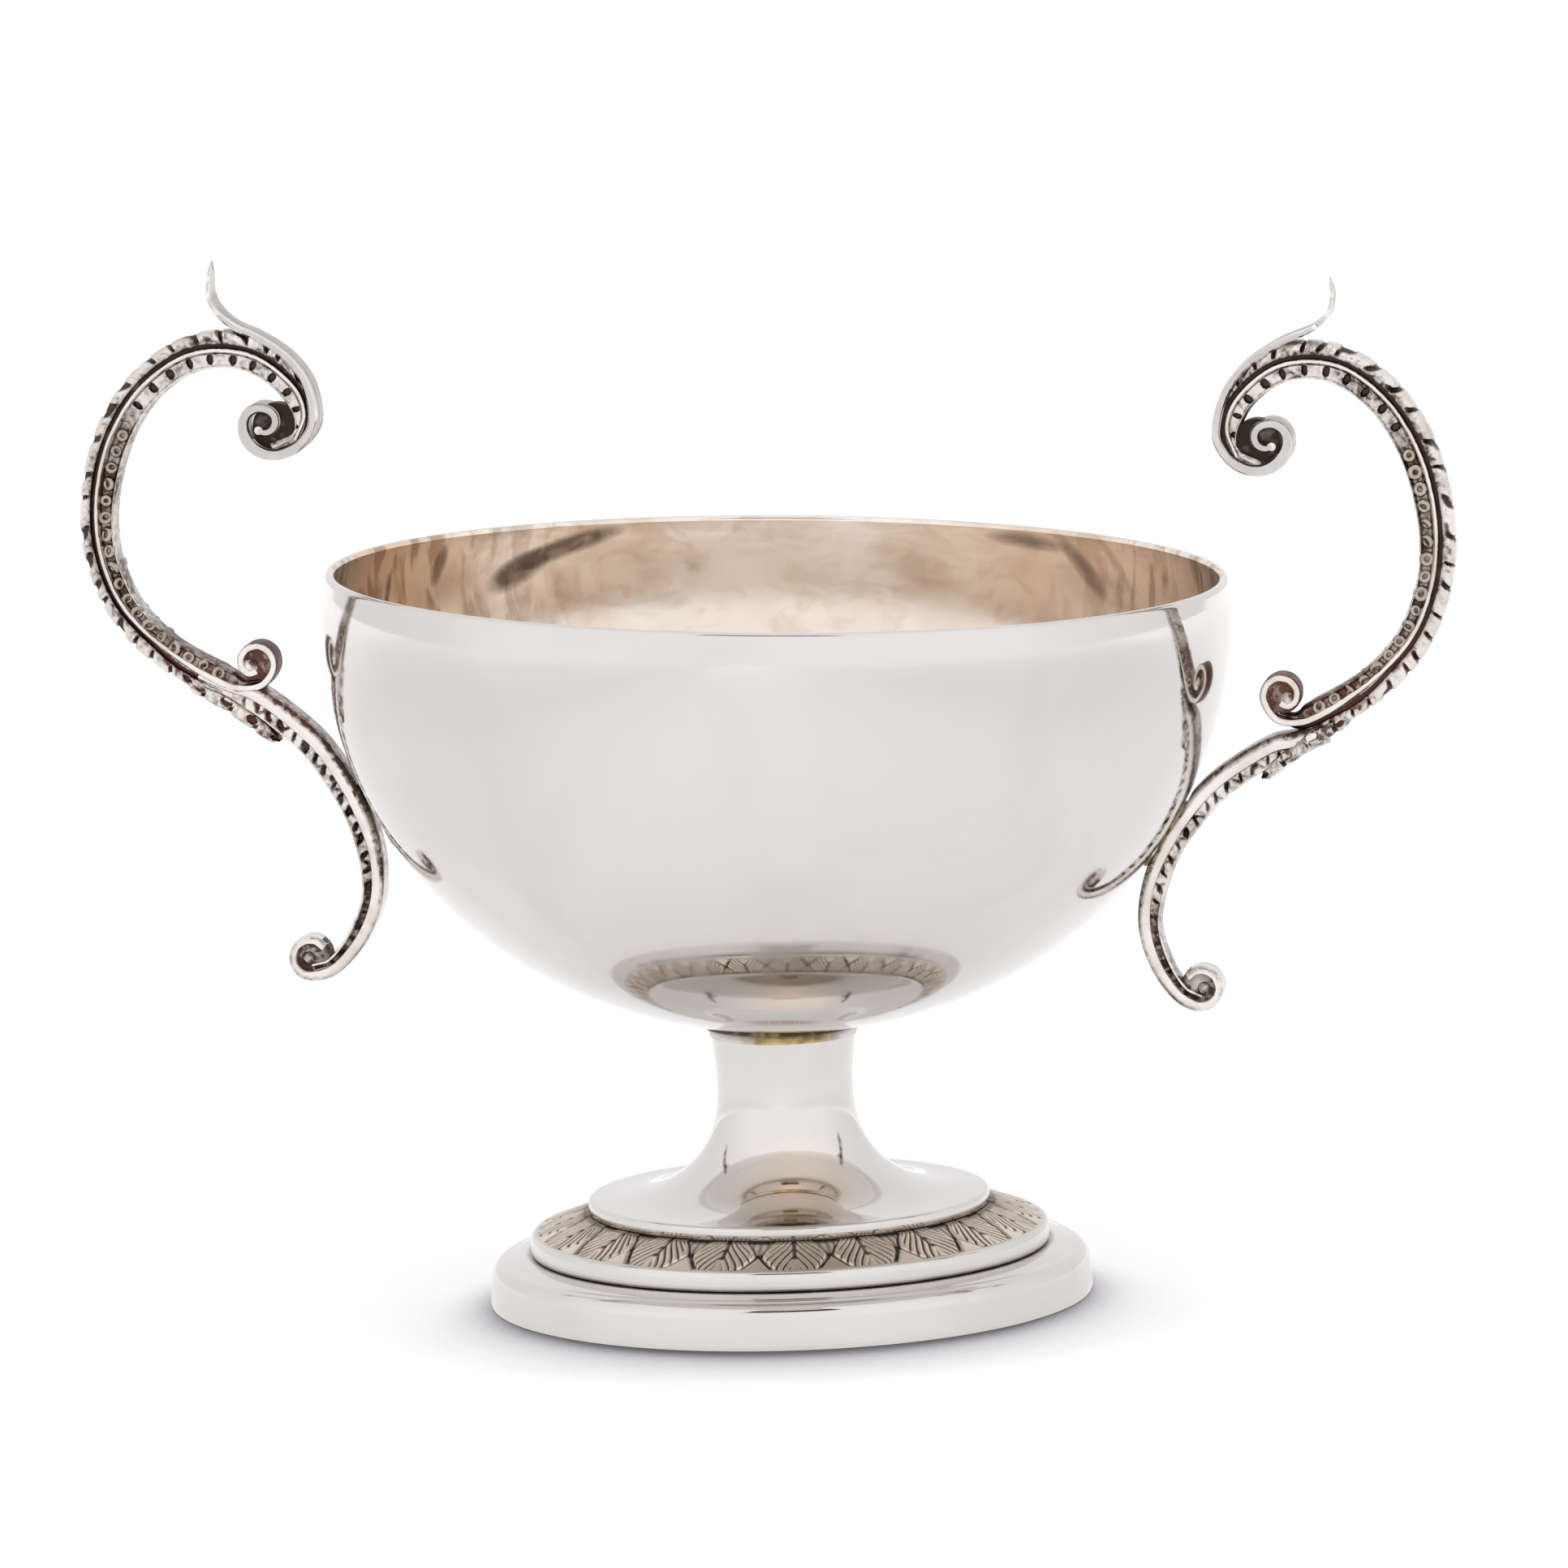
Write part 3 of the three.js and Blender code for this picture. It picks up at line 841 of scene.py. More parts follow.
class NodeBench:
    """A tree of geometry nodes in the making, with named inputs."""

    def __init__(self, name: str, numbers: dict[str, float | int]) -> None:
        """Starts a tree.

        Args:
            name: The tree's name.
            numbers: Named inputs and what they are when nothing sets them.
        """
        self.tree = bpy.data.node_groups.new(name, "GeometryNodeTree")
        face = self.tree.interface
        face.new_socket("Geometry", in_out="INPUT", socket_type="NodeSocketGeometry")
        for label, number in numbers.items():
            kind = "NodeSocketInt" if isinstance(number, int) else "NodeSocketFloat"
            face.new_socket(label, in_out="INPUT", socket_type=kind).default_value = number
        face.new_socket("Material", in_out="INPUT", socket_type="NodeSocketMaterial")
        face.new_socket("Geometry", in_out="OUTPUT", socket_type="NodeSocketGeometry")
        self.given = self.tree.nodes.new("NodeGroupInput").outputs

    def add(self, kind: str, settings: dict[str, object] | None = None, **inputs: object) -> bpy.types.Node:
        """Adds a node.

        Args:
            kind: Its type, without the part that all geometry nodes share.
            settings: Its own settings.
            **inputs: What its sockets get, by name with _ for a space, or by i and a number.

        Returns:
            The node.
        """
        whole = kind if kind.startswith(("Shader", "Function")) else "GeometryNode" + kind
        node = self.tree.nodes.new(whole)
        for name, value in (settings or {}).items():
            setattr(node, name, value)
        for name, value in inputs.items():
            socket = node.inputs[int(name[1:]) if name[1:].isdigit() else name.replace("_", " ")]
            if isinstance(value, bpy.types.NodeSocket):
                self.tree.links.new(value, socket)
            else:
                socket.default_value = value
        return node

    def math(self, operation: str, first: object, second: object = 0.0) -> bpy.types.NodeSocket:
        """Works out one sum."""
        return self.add("ShaderNodeMath", {"operation": operation}, i0=first, i1=second).outputs[0]

    def times(self, first: object, second: object) -> bpy.types.NodeSocket:
        """Multiplies two values."""
        return self.math("MULTIPLY", first, second)

    def end(self, geometry: bpy.types.NodeSocket) -> bpy.types.NodeTree:
        """Makes real, smooth and dressed geometry the tree's result.

        Args:
            geometry: What the tree has made.

        Returns:
            The tree.
        """
        real = self.add("RealizeInstances", Geometry=geometry).outputs[0]
        smooth = self.add("SetShadeSmooth", Geometry=real).outputs[0]
        dressed = self.add("SetMaterial", Geometry=smooth, Material=self.given["Material"]).outputs[0]
        out = self.tree.nodes.new("NodeGroupOutput")
        self.tree.links.new(dressed, out.inputs["Geometry"])
        return self.tree


def grown(
    name: str, seed: bpy.types.Mesh, tree: bpy.types.NodeTree, values: dict[str, object], crease: float = 40
) -> bpy.types.Object:
    """Runs a tree on a mesh and keeps the result as a plain mesh.

    Args:
        name: The piece's name.
        seed: The mesh that the tree starts from.
        tree: The tree.
        values: Its named inputs.
        crease: Edges that turn by more than this many degrees stay sharp.

    Returns:
        The finished piece.
    """
    piece = linked(name, seed)
    modifier = piece.modifiers.new(tree.name, "NODES")
    modifier.node_group = tree
    for item in tree.interface.items_tree:
        if item.in_out == "INPUT" and item.name in values:
            modifier[item.identifier] = values[item.name]
    bpy.context.view_layer.update()
    evaluated = piece.evaluated_get(bpy.context.evaluated_depsgraph_get())
    result = bpy.data.meshes.new_from_object(evaluated)
    piece.modifiers.clear()
    piece.data = result
    return finished(piece, crease)


class Outline:
    """An outline for the lathe: the radius, height and shade of each of its points."""

    def __init__(self) -> None:
        """Starts without a point."""
        self.points: list[tuple[float, float]] = []
        self.shade: list[float] = []

    def add(self, *points: tuple[float, float], shade: float = 0) -> None:
        """Goes on through points.

        Args:
            *points: Their radius and height, in millimetres.
            shade: How sheltered they all are.
        """
        self.points += points
        self.shade += [shade] * len(points)


class Lathe:
    """Turns outlines of (radius, height) about the Z axis with geometry nodes."""

    def __init__(self) -> None:
        """Builds the tree: a grid whose rows are the outline, each turned a step further."""
        bench = NodeBench("Turned on the lathe", {"Steps": 160, "Join Distance": 2e-7})
        outline, steps = bench.given["Geometry"], bench.given["Steps"]
        count = bench.add("AttributeDomainSize", Geometry=outline).outputs["Point Count"]
        rows = bench.math("ADD", steps, 1.0)
        grid = bench.add("MeshGrid", Vertices_X=rows, Vertices_Y=count).outputs["Mesh"]
        index = bench.add("InputIndex").outputs[0]
        row = bench.math("FLOOR", bench.math("DIVIDE", index, count))
        column = bench.math("MODULO", index, count)

        def drawn(kind: str, value: bpy.types.NodeSocket) -> bpy.types.NodeSocket:
            """Reads what the outline has in a point's column."""
            settings = {"data_type": kind}
            node = bench.add("SampleIndex", settings, Geometry=outline, Value=value, Index=column)
            return node.outputs[0]

        angle = bench.times(row, bench.math("DIVIDE", TURN, steps))
        place = drawn("FLOAT_VECTOR", bench.add("InputPosition").outputs[0])
        turned = bench.add("ShaderNodeVectorRotate", {"rotation_type": "Z_AXIS"}, Vector=place, Angle=angle)
        moved = bench.add("SetPosition", Geometry=grid, Position=turned.outputs[0]).outputs[0]
        shade = bench.add("InputNamedAttribute", {"data_type": "FLOAT"}, Name=SHADE).outputs[0]
        shade = drawn("FLOAT", shade)
        settings = {"data_type": "FLOAT", "domain": "POINT"}
        kept = bench.add("StoreNamedAttribute", settings, Geometry=moved, Name=SHADE, Value=shade)
        distance = bench.given["Join Distance"]
        joined = bench.add("MergeByDistance", Geometry=kept.outputs[0], Distance=distance)
        self.tree = bench.end(joined.outputs[0])

    def turn(
        self, name: str, outline: Outline, material: bpy.types.Material, steps: int
    ) -> bpy.types.Object:
        """Turns one piece.

        Args:
            name: The piece's name.
            outline: Its outline, closed or from axis to axis.
            material: Its finish.
            steps: How many steps go round.

        Returns:
            The piece.
        """
        points = [(radius, 0, height) for radius, height in outline.points]
        seed = shaded_mesh(name + "_outline", points, [], outline.shade)
        return grown(name, seed, self.tree, {"Steps": steps, "Material": material})


class RingOfTiles:
    """Repeats one carved tile round the Z axis and joins the copies into a ring."""

    def __init__(self) -> None:
        """Builds the tree."""
        bench = NodeBench("Ring of carved tiles", {"Copies": 18, "Join Distance": 1e-6})
        copies = bench.given["Copies"]
        tile = bench.add("GeometryToInstance", Geometry=bench.given["Geometry"]).outputs[0]
        many = bench.add("DuplicateElements", {"domain": "INSTANCE"}, Geometry=tile, Amount=copies)
        angle = bench.times(many.outputs["Duplicate Index"], bench.math("DIVIDE", TURN, copies))
        turn = bench.add("ShaderNodeCombineXYZ", Z=angle).outputs[0]
        placed = bench.add("RotateInstances", Instances=many.outputs[0], Rotation=turn).outputs[0]
        real = bench.add("RealizeInstances", Geometry=placed).outputs[0]
        joined = bench.add("MergeByDistance", Geometry=real, Distance=bench.given["Join Distance"])
        self.tree = bench.end(joined.outputs[0])

    def lay(
        self, name: str, tile: bpy.types.Mesh, copies: int, material: bpy.types.Material
    ) -> bpy.types.Object:
        """Makes a ring of one tile.

        Args:
            name: The piece's name.
            tile: The carved tile, whose two sides meet its neighbours.
            copies: How many tiles go round.
            material: Its finish.

        Returns:
            The ring.
        """
        return grown(name, tile, self.tree, {"Copies": copies, "Material": material}, crease=50)


class BeadRow:
    """Sets a row of small ring-shaped beads along a line, each a little different in size and tilt."""

    most_tilt = 0.75
    wire_share = 0.36

    def __init__(self) -> None:
        """Builds the tree."""
        numbers = {"Pitch": 2.5 * MM, "Radius": 0.8 * MM, "Unevenness": 0.16, "Seed": 7}
        bench = NodeBench("Row of beads", numbers)
        pitch, radius, uneven, seed = (bench.given[label] for label in numbers)
        line = bench.add("MeshToCurve", Mesh=bench.given["Geometry"]).outputs[0]
        spaced = bench.add("ResampleCurve", {"mode": "LENGTH"}, Curve=line, Length=pitch).outputs[0]
        middle, thick = bench.times(radius, 1 - self.wire_share), bench.times(radius, self.wire_share)
        ring = bench.add("CurvePrimitiveCircle", Resolution=10, Radius=middle).outputs[0]
        wire = bench.add("CurvePrimitiveCircle", Resolution=5, Radius=thick).outputs[0]
        bead = bench.add("CurveToMesh", Curve=ring, Profile_Curve=wire).outputs[0]
        tilt = bench.add("FunctionNodeRandomValue", {"data_type": "FLOAT_VECTOR"}, Seed=seed)
        for index, way in enumerate((-1, 1)):
            lean = way * self.most_tilt
            tilt.inputs[index].default_value = (math.pi / 2 + lean, lean, lean)
        least, most = bench.math("SUBTRACT", 1.0, uneven), bench.math("ADD", 1.0, uneven)
        size = bench.add("FunctionNodeRandomValue", {"data_type": "FLOAT"}, i2=least, i3=most, Seed=seed)
        tilt, size = tilt.outputs[0], size.outputs[1]
        placed = bench.add("InstanceOnPoints", Points=spaced, Instance=bead, Rotation=tilt, Scale=size)
        self.tree = bench.end(placed.outputs[0])

    def string(
        self,
        name: str,
        lines: Sequence[np.ndarray],
        pitch: float,
        radius: float,
        material: bpy.types.Material,
    ) -> bpy.types.Object:
        """Makes the beads of several lines as one piece.

        Args:
            name: The piece's name.
            lines: Points in millimetres that each row follows.
            pitch: From bead to bead.
            radius: Of a bead.
            material: Its finish.

        Returns:
            The beads.
        """
        seed = bpy.data.meshes.new(name + "_lines")
        points = np.vstack(list(lines)) * MM
        edges: list[tuple[int, int]] = []
        start = 0
        for line in lines:
            edges += [(start + k, start + k + 1) for k in range(len(line) - 1)]
            start += len(line)
        seed.from_pydata(points.tolist(), edges, [])
        values = {"Pitch": pitch * MM, "Radius": radius * MM, "Material": material}
        return grown(name, seed, self.tree, values, crease=180)


class Workshop:
    """What the sub-assemblies share: finishes, the lathe, the ring of tiles and the row of beads."""

    def __init__(self) -> None:
        """Makes the finishes and builds the trees."""
        self.finishes = Finishes()
        self.lathe = Lathe()
        self.tiles = RingOfTiles()
        self.beads = BeadRow()


def settle(piece: bpy.types.Object, slot: Slot, *nodes: str) -> None:
    """Fixes a piece to the cup's one body and hides the solids that it replaces.

    Args:
        piece: The finished piece.
        slot: The record's slot that its finish comes from; not used.
        *nodes: The solids that it replaces.
    """
    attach(piece, "root")
    if nodes:
        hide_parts(*nodes)
    LOG.info("%s: %d faces", piece.name, len(piece.data.polygons))


@dataclass(frozen=True)
class LeafTile:
    """One tile of the leaf border: a broad leaf of nested ribs, half a dart each side, leaves behind.

    Places on it are shares: across from -1 to 1, and up from 0 at the lower edge to 1 at the head.
    """

    leaf_half: float = 0.92
    leaf_taper: float = 1.1
    leaf_widest: float = 0.45
    ribs: float = 4.4
    rib_slant: float = 3.6
    dart_half: float = 0.42
    dart_height: float = 0.52
    rear_ribs: float = 4.5
    columns: int = 88
    rows: int = 36

    def relief(self, across: np.ndarray, up: float) -> ArrayPair:
        """Carves one row of the tile.

        Args:
            across: The places across.
            up: How far up they are.

        Returns:
            How high the surface stands, from 0 to 1, and how dark its recess is.
        """
        side = np.abs(across)
        corner = 1 - side
        ring = side / (self.leaf_half - self.leaf_taper * (up - self.leaf_widest) ** 2)
        inside = ease(ring, 1.02, 0.93)
        rib = np.abs(np.sin(math.pi * (self.ribs * ring + self.rib_slant * up)))
        heart = ease(ring, 0.24 - 0.5 * up, 0.14 - 0.5 * up)
        vein = ease(side, 0.09, 0.03) * ease(up, 0.3, 0.5)
        ribbed = np.maximum(heart, np.clip(rib * 1.5, 0, 1) ** 0.7)
        leaf = inside * (0.4 + 0.6 * ribbed) * (1 - 0.6 * vein)
        rim = ease(np.abs(ring - 0.92), 0.1, 0.05)
        leaf = np.maximum(leaf, 0.85 * rim * inside)
        dart_half = self.dart_half * (1 - up / self.dart_height)
        dart = ease(corner, dart_half, dart_half - 0.06) * (up < self.dart_height)
        trench = ease(corner, dart_half + 0.15, dart_half + 0.06)
        trench = trench * ease(up, self.dart_height + 0.12, self.dart_height + 0.04)
        rear = 0.2 + 0.25 * np.abs(np.sin(math.pi * self.rear_ribs * corner))
        rear = rear * ease(up, 0.6, 0.68) * ease(ring, 1.02, 1.12)
        edge = 1 - ease(up, 0.02, 0.045)
        height = np.maximum(np.maximum(leaf * (1 - trench), 0.9 * dart), np.maximum(rear, 0.85 * edge))
        cut = inside * (1 - heart) * ease(rib, 0.72, 0.25) * (1 - rim)
        dark = np.clip(1 - height * 2.1, 0, 1) ** 0.8
        dark = np.maximum(dark, np.maximum(0.9 * cut, 0.8 * vein) * (1 - trench))
        # Painted shade: the top tenth of the tile, under the plate's edge, is at least 0.55 dark.
        return height, np.maximum(dark * (1 - edge), 0.55 * ease(up, 0.9, 0.99))


@dataclass
class Foot:
    """The base ring, the half-round wire on it and the ring of leaves above."""

    shop: Workshop
    radius: float = 43.2
    wall: float = 1.3
    draft: float = 0.4
    wall_height: float = 4.4
    lean: float = 0.3
    shoulder: float = 2.1
    deck_rise: float = 0.7
    sole_width: float = 3
    sole_thickness: float = 1.2
    deck_inset: float = 9.8
    wire_radius: float = 37.3
    wire_width: float = 3.4
    wire_height: float = 2.75
    wire_bulge: float = 1.03
    gap: float = 0.15
    frieze_rise: float = 2.7
    frieze_head: float = 29.3
    frieze_lip: float = 2.2
    frieze_thickness: float = 1
    frieze_step: float = 0.6
    leaves: int = 20
    carving: float = 0.5

    @property
    def deck(self) -> float:
        """Height of the base ring's top."""
        return self.wall_height + self.shoulder + self.deck_rise

    @property
    def frieze_foot(self) -> tuple[float, float]:
        """Radius and height of the leaves' lower edge."""
        return self.wire_radius - self.wire_bulge, self.deck + 2 * self.gap + self.wire_height

    def build_ring(self) -> None:
        """Turns the base ring with a soft shoulder."""
        centre, low = self.radius - self.lean - self.shoulder, self.wall_height + self.shoulder
        outline = Outline()
        outline.add((self.radius - 0.4, 0), shade=0.2)
        outline.add((self.radius - 0.1, 0.1), shade=0.05)
        outline.add((self.radius, 0.35), (self.radius - 0.03, 0.7))
        outline.add((self.radius - self.lean + 0.03, self.wall_height - 0.4))
        for step in range(13):
            angle = math.pi / 2 * step / 12
            across, up = self.shoulder * math.cos(angle), self.shoulder * math.sin(angle)
            outline.add((centre + across, self.wall_height + up))
        reach = self.wire_radius + self.gap - centre
        for step, shade in enumerate((0, 0, 0, 0, 0.1, 0.6), 1):
            part = step / 6
            rise = self.deck_rise * (1 - (1 - part) ** 1.6)
            outline.add((centre + reach * part, low + rise), shade=shade)
        end, inner = self.radius - self.deck_inset, self.radius - self.wall
        sole = self.radius - self.draft - self.sole_width
        outline.add((end, self.deck), (end, self.deck - self.wall), shade=0.7)
        outline.add((inner - self.shoulder, low - self.wall), (inner, self.wall_height), shade=0.7)
        outline.add((inner - self.draft, self.sole_thickness), shade=0.7)
        outline.add((sole, self.sole_thickness), (sole, 0), shade=0.7)
        outline.add(outline.points[0], shade=0.2)
        ring = self.shop.lathe.turn("foot_ring", outline, self.shop.finishes.polished, 200)
        settle(ring, Slot.POLISHED, "base_ring")

    def build_wire(self) -> None:
        """Turns the half-round wire, which hugs the deck below and the leaves above."""
        swell = self.wire_height / 2 + self.gap * 0.9
        middle = self.deck + self.gap + self.wire_height / 2
        outline = Outline()
        for angle in np.linspace(-math.pi / 2, math.pi / 2, 17):
            rise = math.copysign(abs(math.sin(angle)) ** 0.8, angle)
            power = 0.32 if angle < 0 else 0.8
            draw = self.wire_bulge * (1 - max(math.cos(angle), 0) ** power)
            shade = 0.85 * max(-math.sin(angle), 0) ** 6 + 0.3 * max(math.sin(angle), 0) ** 12
            outline.add((self.wire_radius - draw, middle + swell * rise), shade=shade)
        inner = self.wire_radius - self.wire_width
        outline.add((inner, middle + swell), (inner, middle - swell), shade=0.8)
        outline.add(outline.points[0], shade=outline.shade[0])
        wire = self.shop.lathe.turn("foot_wire", outline, self.shop.finishes.polished, 200)
        settle(wire, Slot.POLISHED, "moulding_wire")

    def build_frieze(self) -> None:
        """Carves one tile of leaves and lays it round the foot."""
        tile = LeafTile()
        foot, low = self.frieze_foot
        head, high = self.frieze_head, low + self.frieze_rise
        across = np.linspace(-1, 1, tile.columns + 1)
        angles = (across + 1) * math.pi / self.leaves
        slope = np.array([foot - head, high - low]) / math.hypot(foot - head, high - low)
        rows, shades = [], []
        for up in np.linspace(0, 1, tile.rows + 1):
            height, dark = tile.relief(across, up)
            sink = self.carving * (height - 1)
            radius, level = foot + (head - foot) * up, low + (high - low) * up
            rows.append((radius + slope[1] * sink, level + slope[0] * sink))
            shades.append(dark)
        rear, under = head - self.frieze_lip, high - self.frieze_thickness
        backing = [(rear, high), (rear, under), (head - self.frieze_step, under)]
        backing.append((foot - self.frieze_lip, low))
        even = np.ones_like(angles)
        rows += [(radius * even, level * even) for radius, level in backing]
        shades += [0.5 * even] * len(backing)
        cos, sin = np.cos(angles), np.sin(angles)
        points = [np.column_stack([radius * cos, radius * sin, level]) for radius, level in rows]
        wide, tall = len(angles), len(points)
        faces = []
        for row in range(tall):
            for k in range(wide - 1):
                a, b = row * wide + k, (row + 1) % tall * wide + k
                faces.append((a, a + 1, b + 1, b))
        mesh = shaded_mesh("leaf_tile", np.vstack(points), faces, np.concatenate(shades))
        ring = self.shop.tiles.lay("foot_leaf_ring", mesh, self.leaves, self.shop.finishes.chased)
        settle(ring, Slot.CHASED, "leaf_frieze")


@dataclass
class Bowl:
    """The hemispherical bowl, which leans a little on its stem."""

    shop: Workshop
    radius: float = 65
    depth: float = 60.6
    fullness: float = 2.05
    lip_rise: float = 5
    lip_draw_in: float = 0.6
    wall: float = 1.5
    lean: float = 2.1
    shift: float = -1.2
    seat: float = 39

    def place(self, points: np.ndarray) -> np.ndarray:
        """Moves points from the bowl's own frame to the cup's.

        Args:
            points: In millimetres, with the origin at the bowl's lowest point.

        Returns:
            The moved points.
        """
        cos, sin = cos_sin(self.lean)
        turn = np.array([[cos, 0, sin], [0, 1, 0], [-sin, 0, cos]])
        return points @ turn.T + np.array([self.shift, 0, self.seat])

    def underside(self, across: np.ndarray, aside: np.ndarray) -> np.ndarray:
        """Height of the bowl's underside in the cup's frame.

        Args:
            across: X of each place, in millimetres.
            aside: Y of each place.

        Returns:
            Z of the underside.
        """
        cos, sin = cos_sin(self.lean)
        height = np.full_like(across, self.seat)
        for _ in range(4):
            own = (across - self.shift) * cos - (height - self.seat) * sin
            part = np.hypot(own, aside) / self.radius
            rise = self.depth * (1 - (1 - part**self.fullness) ** (1 / self.fullness))
            height = self.seat + (rise - (across - self.shift) * sin) / cos
        return height

    def curve(self, grow: float, steps: int) -> list[tuple[float, float]]:
        """Draws the outline from the lowest point up to the belly.

        Args:
            grow: How far outside the bowl's outer face it runs.
            steps: How many steps it takes.

        Returns:
            Radius and height of its points.
        """
        power = 2 / self.fullness
        points = []
        for step in range(steps + 1):
            angle = math.pi / 2 * (1 - step / steps)
            radius = (self.radius + grow) * max(math.cos(angle), 0) ** power if step else 0
            points.append((radius, self.depth - (self.depth + grow) * math.sin(angle) ** power))
        return points

    def build(self) -> None:
        """Turns the bowl and leans it."""
        half = self.wall / 2
        centre = self.radius - self.lip_draw_in - half
        rim_up = self.depth + self.lip_rise - half
        outline = Outline()
        outline.add(*self.curve(0, 60))
        for part in (0.35, 0.7):
            rise = (self.lip_rise - half) * part
            outline.add((self.radius - self.lip_draw_in * part**2, self.depth + rise))
        for angle, shade in zip(np.linspace(0, math.pi, 11), (0, 0, 0, 0, 0, 0, 0.5, 1, 1, 1, 1)):
            outline.add((centre + half * math.cos(angle), rim_up + half * math.sin(angle)), shade=shade)
        inner = self.radius - self.wall - self.lip_draw_in * 0.3
        outline.add((inner, self.depth + (self.lip_rise - half) * 0.55), shade=1)
        outline.add(*reversed(self.curve(-self.wall, 60)), shade=1)
        piece = self.shop.lathe.turn("silver_bowl", outline, self.shop.finishes.bowl, 192)
        reshape(piece, self.place)
        settle(piece, Slot.POLISHED, "bowl")


def reshape(piece: bpy.types.Object, change: Callable[[np.ndarray], np.ndarray]) -> None:
    """Moves a finished mesh's points.

    Args:
        piece: The piece.
        change: Takes its points in millimetres and gives where they go.
    """
    points = np.zeros(len(piece.data.vertices) * 3, np.float32)
    piece.data.vertices.foreach_get("co", points)
    moved = change(points.reshape(-1, 3).astype(float) / MM) * MM
    piece.data.vertices.foreach_set("co", moved.astype(np.float32).ravel())
    piece.data.update()


@dataclass
class Stem:
    """The trumpet stem with its plate, and the solder round its top."""

    shop: Workshop
    bowl: Bowl
    top_radius: float = 10.5
    neck_radius: float = 9.75
    neck_height: float = 31
    fullness: float = 2.4
    wall: float = 1.2
    plate_radius: float = 28.8
    plate_bottom: float = 13.1
    plate_edge: float = 1.85
    plate_round: float = 0.6
    plate_rim: float = 2.8
    gap: float = 0.15
    fillet_width: float = 0.9
    fillet_drop: float = 1
    fillet_rise: float = 0.4
    spare: float = 3

    @property
    def plate_top(self) -> float:
        """Height of the plate's edge."""
        return self.plate_bottom + self.plate_edge

    def flare(self, inset: float, steps: int) -> list[tuple[float, float]]:
        """Draws the outline from the plate up to the neck.

        Args:
            inset: How far inside the stem's outer face it runs.
            steps: How many steps it takes.

        Returns:
            Radius and height of its points.
        """
        spread = self.plate_radius - self.plate_round - self.neck_radius
        rise = self.neck_height - self.plate_top
        power = 2 / self.fullness
        points = []
        for step in range(steps + 1):
            angle = math.pi / 2 * step / steps
            radius = self.neck_radius - inset + spread * (1 - math.sin(angle) ** power)
            points.append((radius, self.neck_height - inset - rise * max(math.cos(angle), 0) ** power))
        return points

    def trim(self, points: np.ndarray) -> np.ndarray:
        """Ends the points that reach into the bowl just below it."""
        limit = self.bowl.underside(points[:, 0], points[:, 1]) - self.gap * 0.2
        points[:, 2] = np.minimum(points[:, 2], limit)
        return points

    def build(self) -> None:
        """Turns the stem and trims it to the bowl."""
        edge, soft = self.plate_radius, self.plate_round
        outline = Outline()
        outline.add((edge - 0.12, self.plate_bottom), shade=0.5)
        outline.add((edge, self.plate_bottom + 0.15), (edge, self.plate_top - soft))
        for step in range(1, 6):
            angle = math.pi / 2 * step / 6
            inset, drop = soft * (1 - math.cos(angle)), soft * (1 - math.sin(angle))
            outline.add((edge - inset, self.plate_top - drop))
        outline.add(*self.flare(0, 48))
        top = self.bowl.seat + self.spare
        for part in np.linspace(0.15, 1, 14):
            widen = (self.top_radius - self.neck_radius) * part**1.5
            rise = (self.bowl.seat - self.neck_height) * part
            outline.add((self.neck_radius + widen, self.neck_height + rise))
        outline.add((self.top_radius, top), (self.top_radius - self.wall, top))
        end = edge - self.plate_rim
        outline.add(*(point for point in reversed(self.flare(self.wall, 30)) if point[0] < end))
        outline.add((end, self.plate_top - self.wall), (end, self.plate_bottom), outline.points[0])
        piece = self.shop.lathe.turn("stem_with_plate", outline, self.shop.finishes.stem, 160)
        reshape(piece, self.trim)
        settle(piece, Slot.POLISHED, "stem_and_plate")

    def build_solder(self) -> None:
        """Turns the solder round the stem's top and trims it to the bowl."""
        inside, low = self.top_radius + 0.02, self.bowl.seat - self.fillet_drop
        top = self.bowl.seat + self.spare
        outline = Outline()
        outline.add((inside, low))
        for part, shade in zip(np.linspace(0.2, 1, 6), (0, 0, 0, 0.05, 0.15, 0.9)):
            rise = (self.fillet_drop + self.fillet_rise) * part
            outline.add((inside + self.fillet_width * part**2.2, low + rise), shade=shade)
        outline.add((inside + self.fillet_width, top), (inside, top), shade=1)
        outline.add(outline.points[0])
        seam = self.shop.lathe.turn("stem_solder", outline, self.shop.finishes.stem_solder, 120)
        reshape(seam, self.trim)
        settle(seam, Slot.SOLDER, "stem_solder_seam")


@dataclass(frozen=True)
class Fit:
    """How one hand-fitted scroll differs from the drawing."""

    out: float
    up: float
    tilt: float = 0
    wide: float = 1
    tall: float = 1

    def move(self, points: Points) -> list[list[float]]:
        """Moves points of the drawing to where this handle has them.

        Args:
            points: Places as (out, up) from the junction's inner corner.

        Returns:
            The moved places.
        """
        cos, sin = cos_sin(self.tilt)
        moved = []
        for point in points:
            x, y = point[0] * self.wide, point[1] * self.tall
            moved.append([self.out + x * cos - y * sin, self.up + x * sin + y * cos])
        return moved

    def spot(self, point: Sequence[float]) -> np.ndarray:
        """Moves one point of the drawing."""
        return np.array(self.move([point])[0])


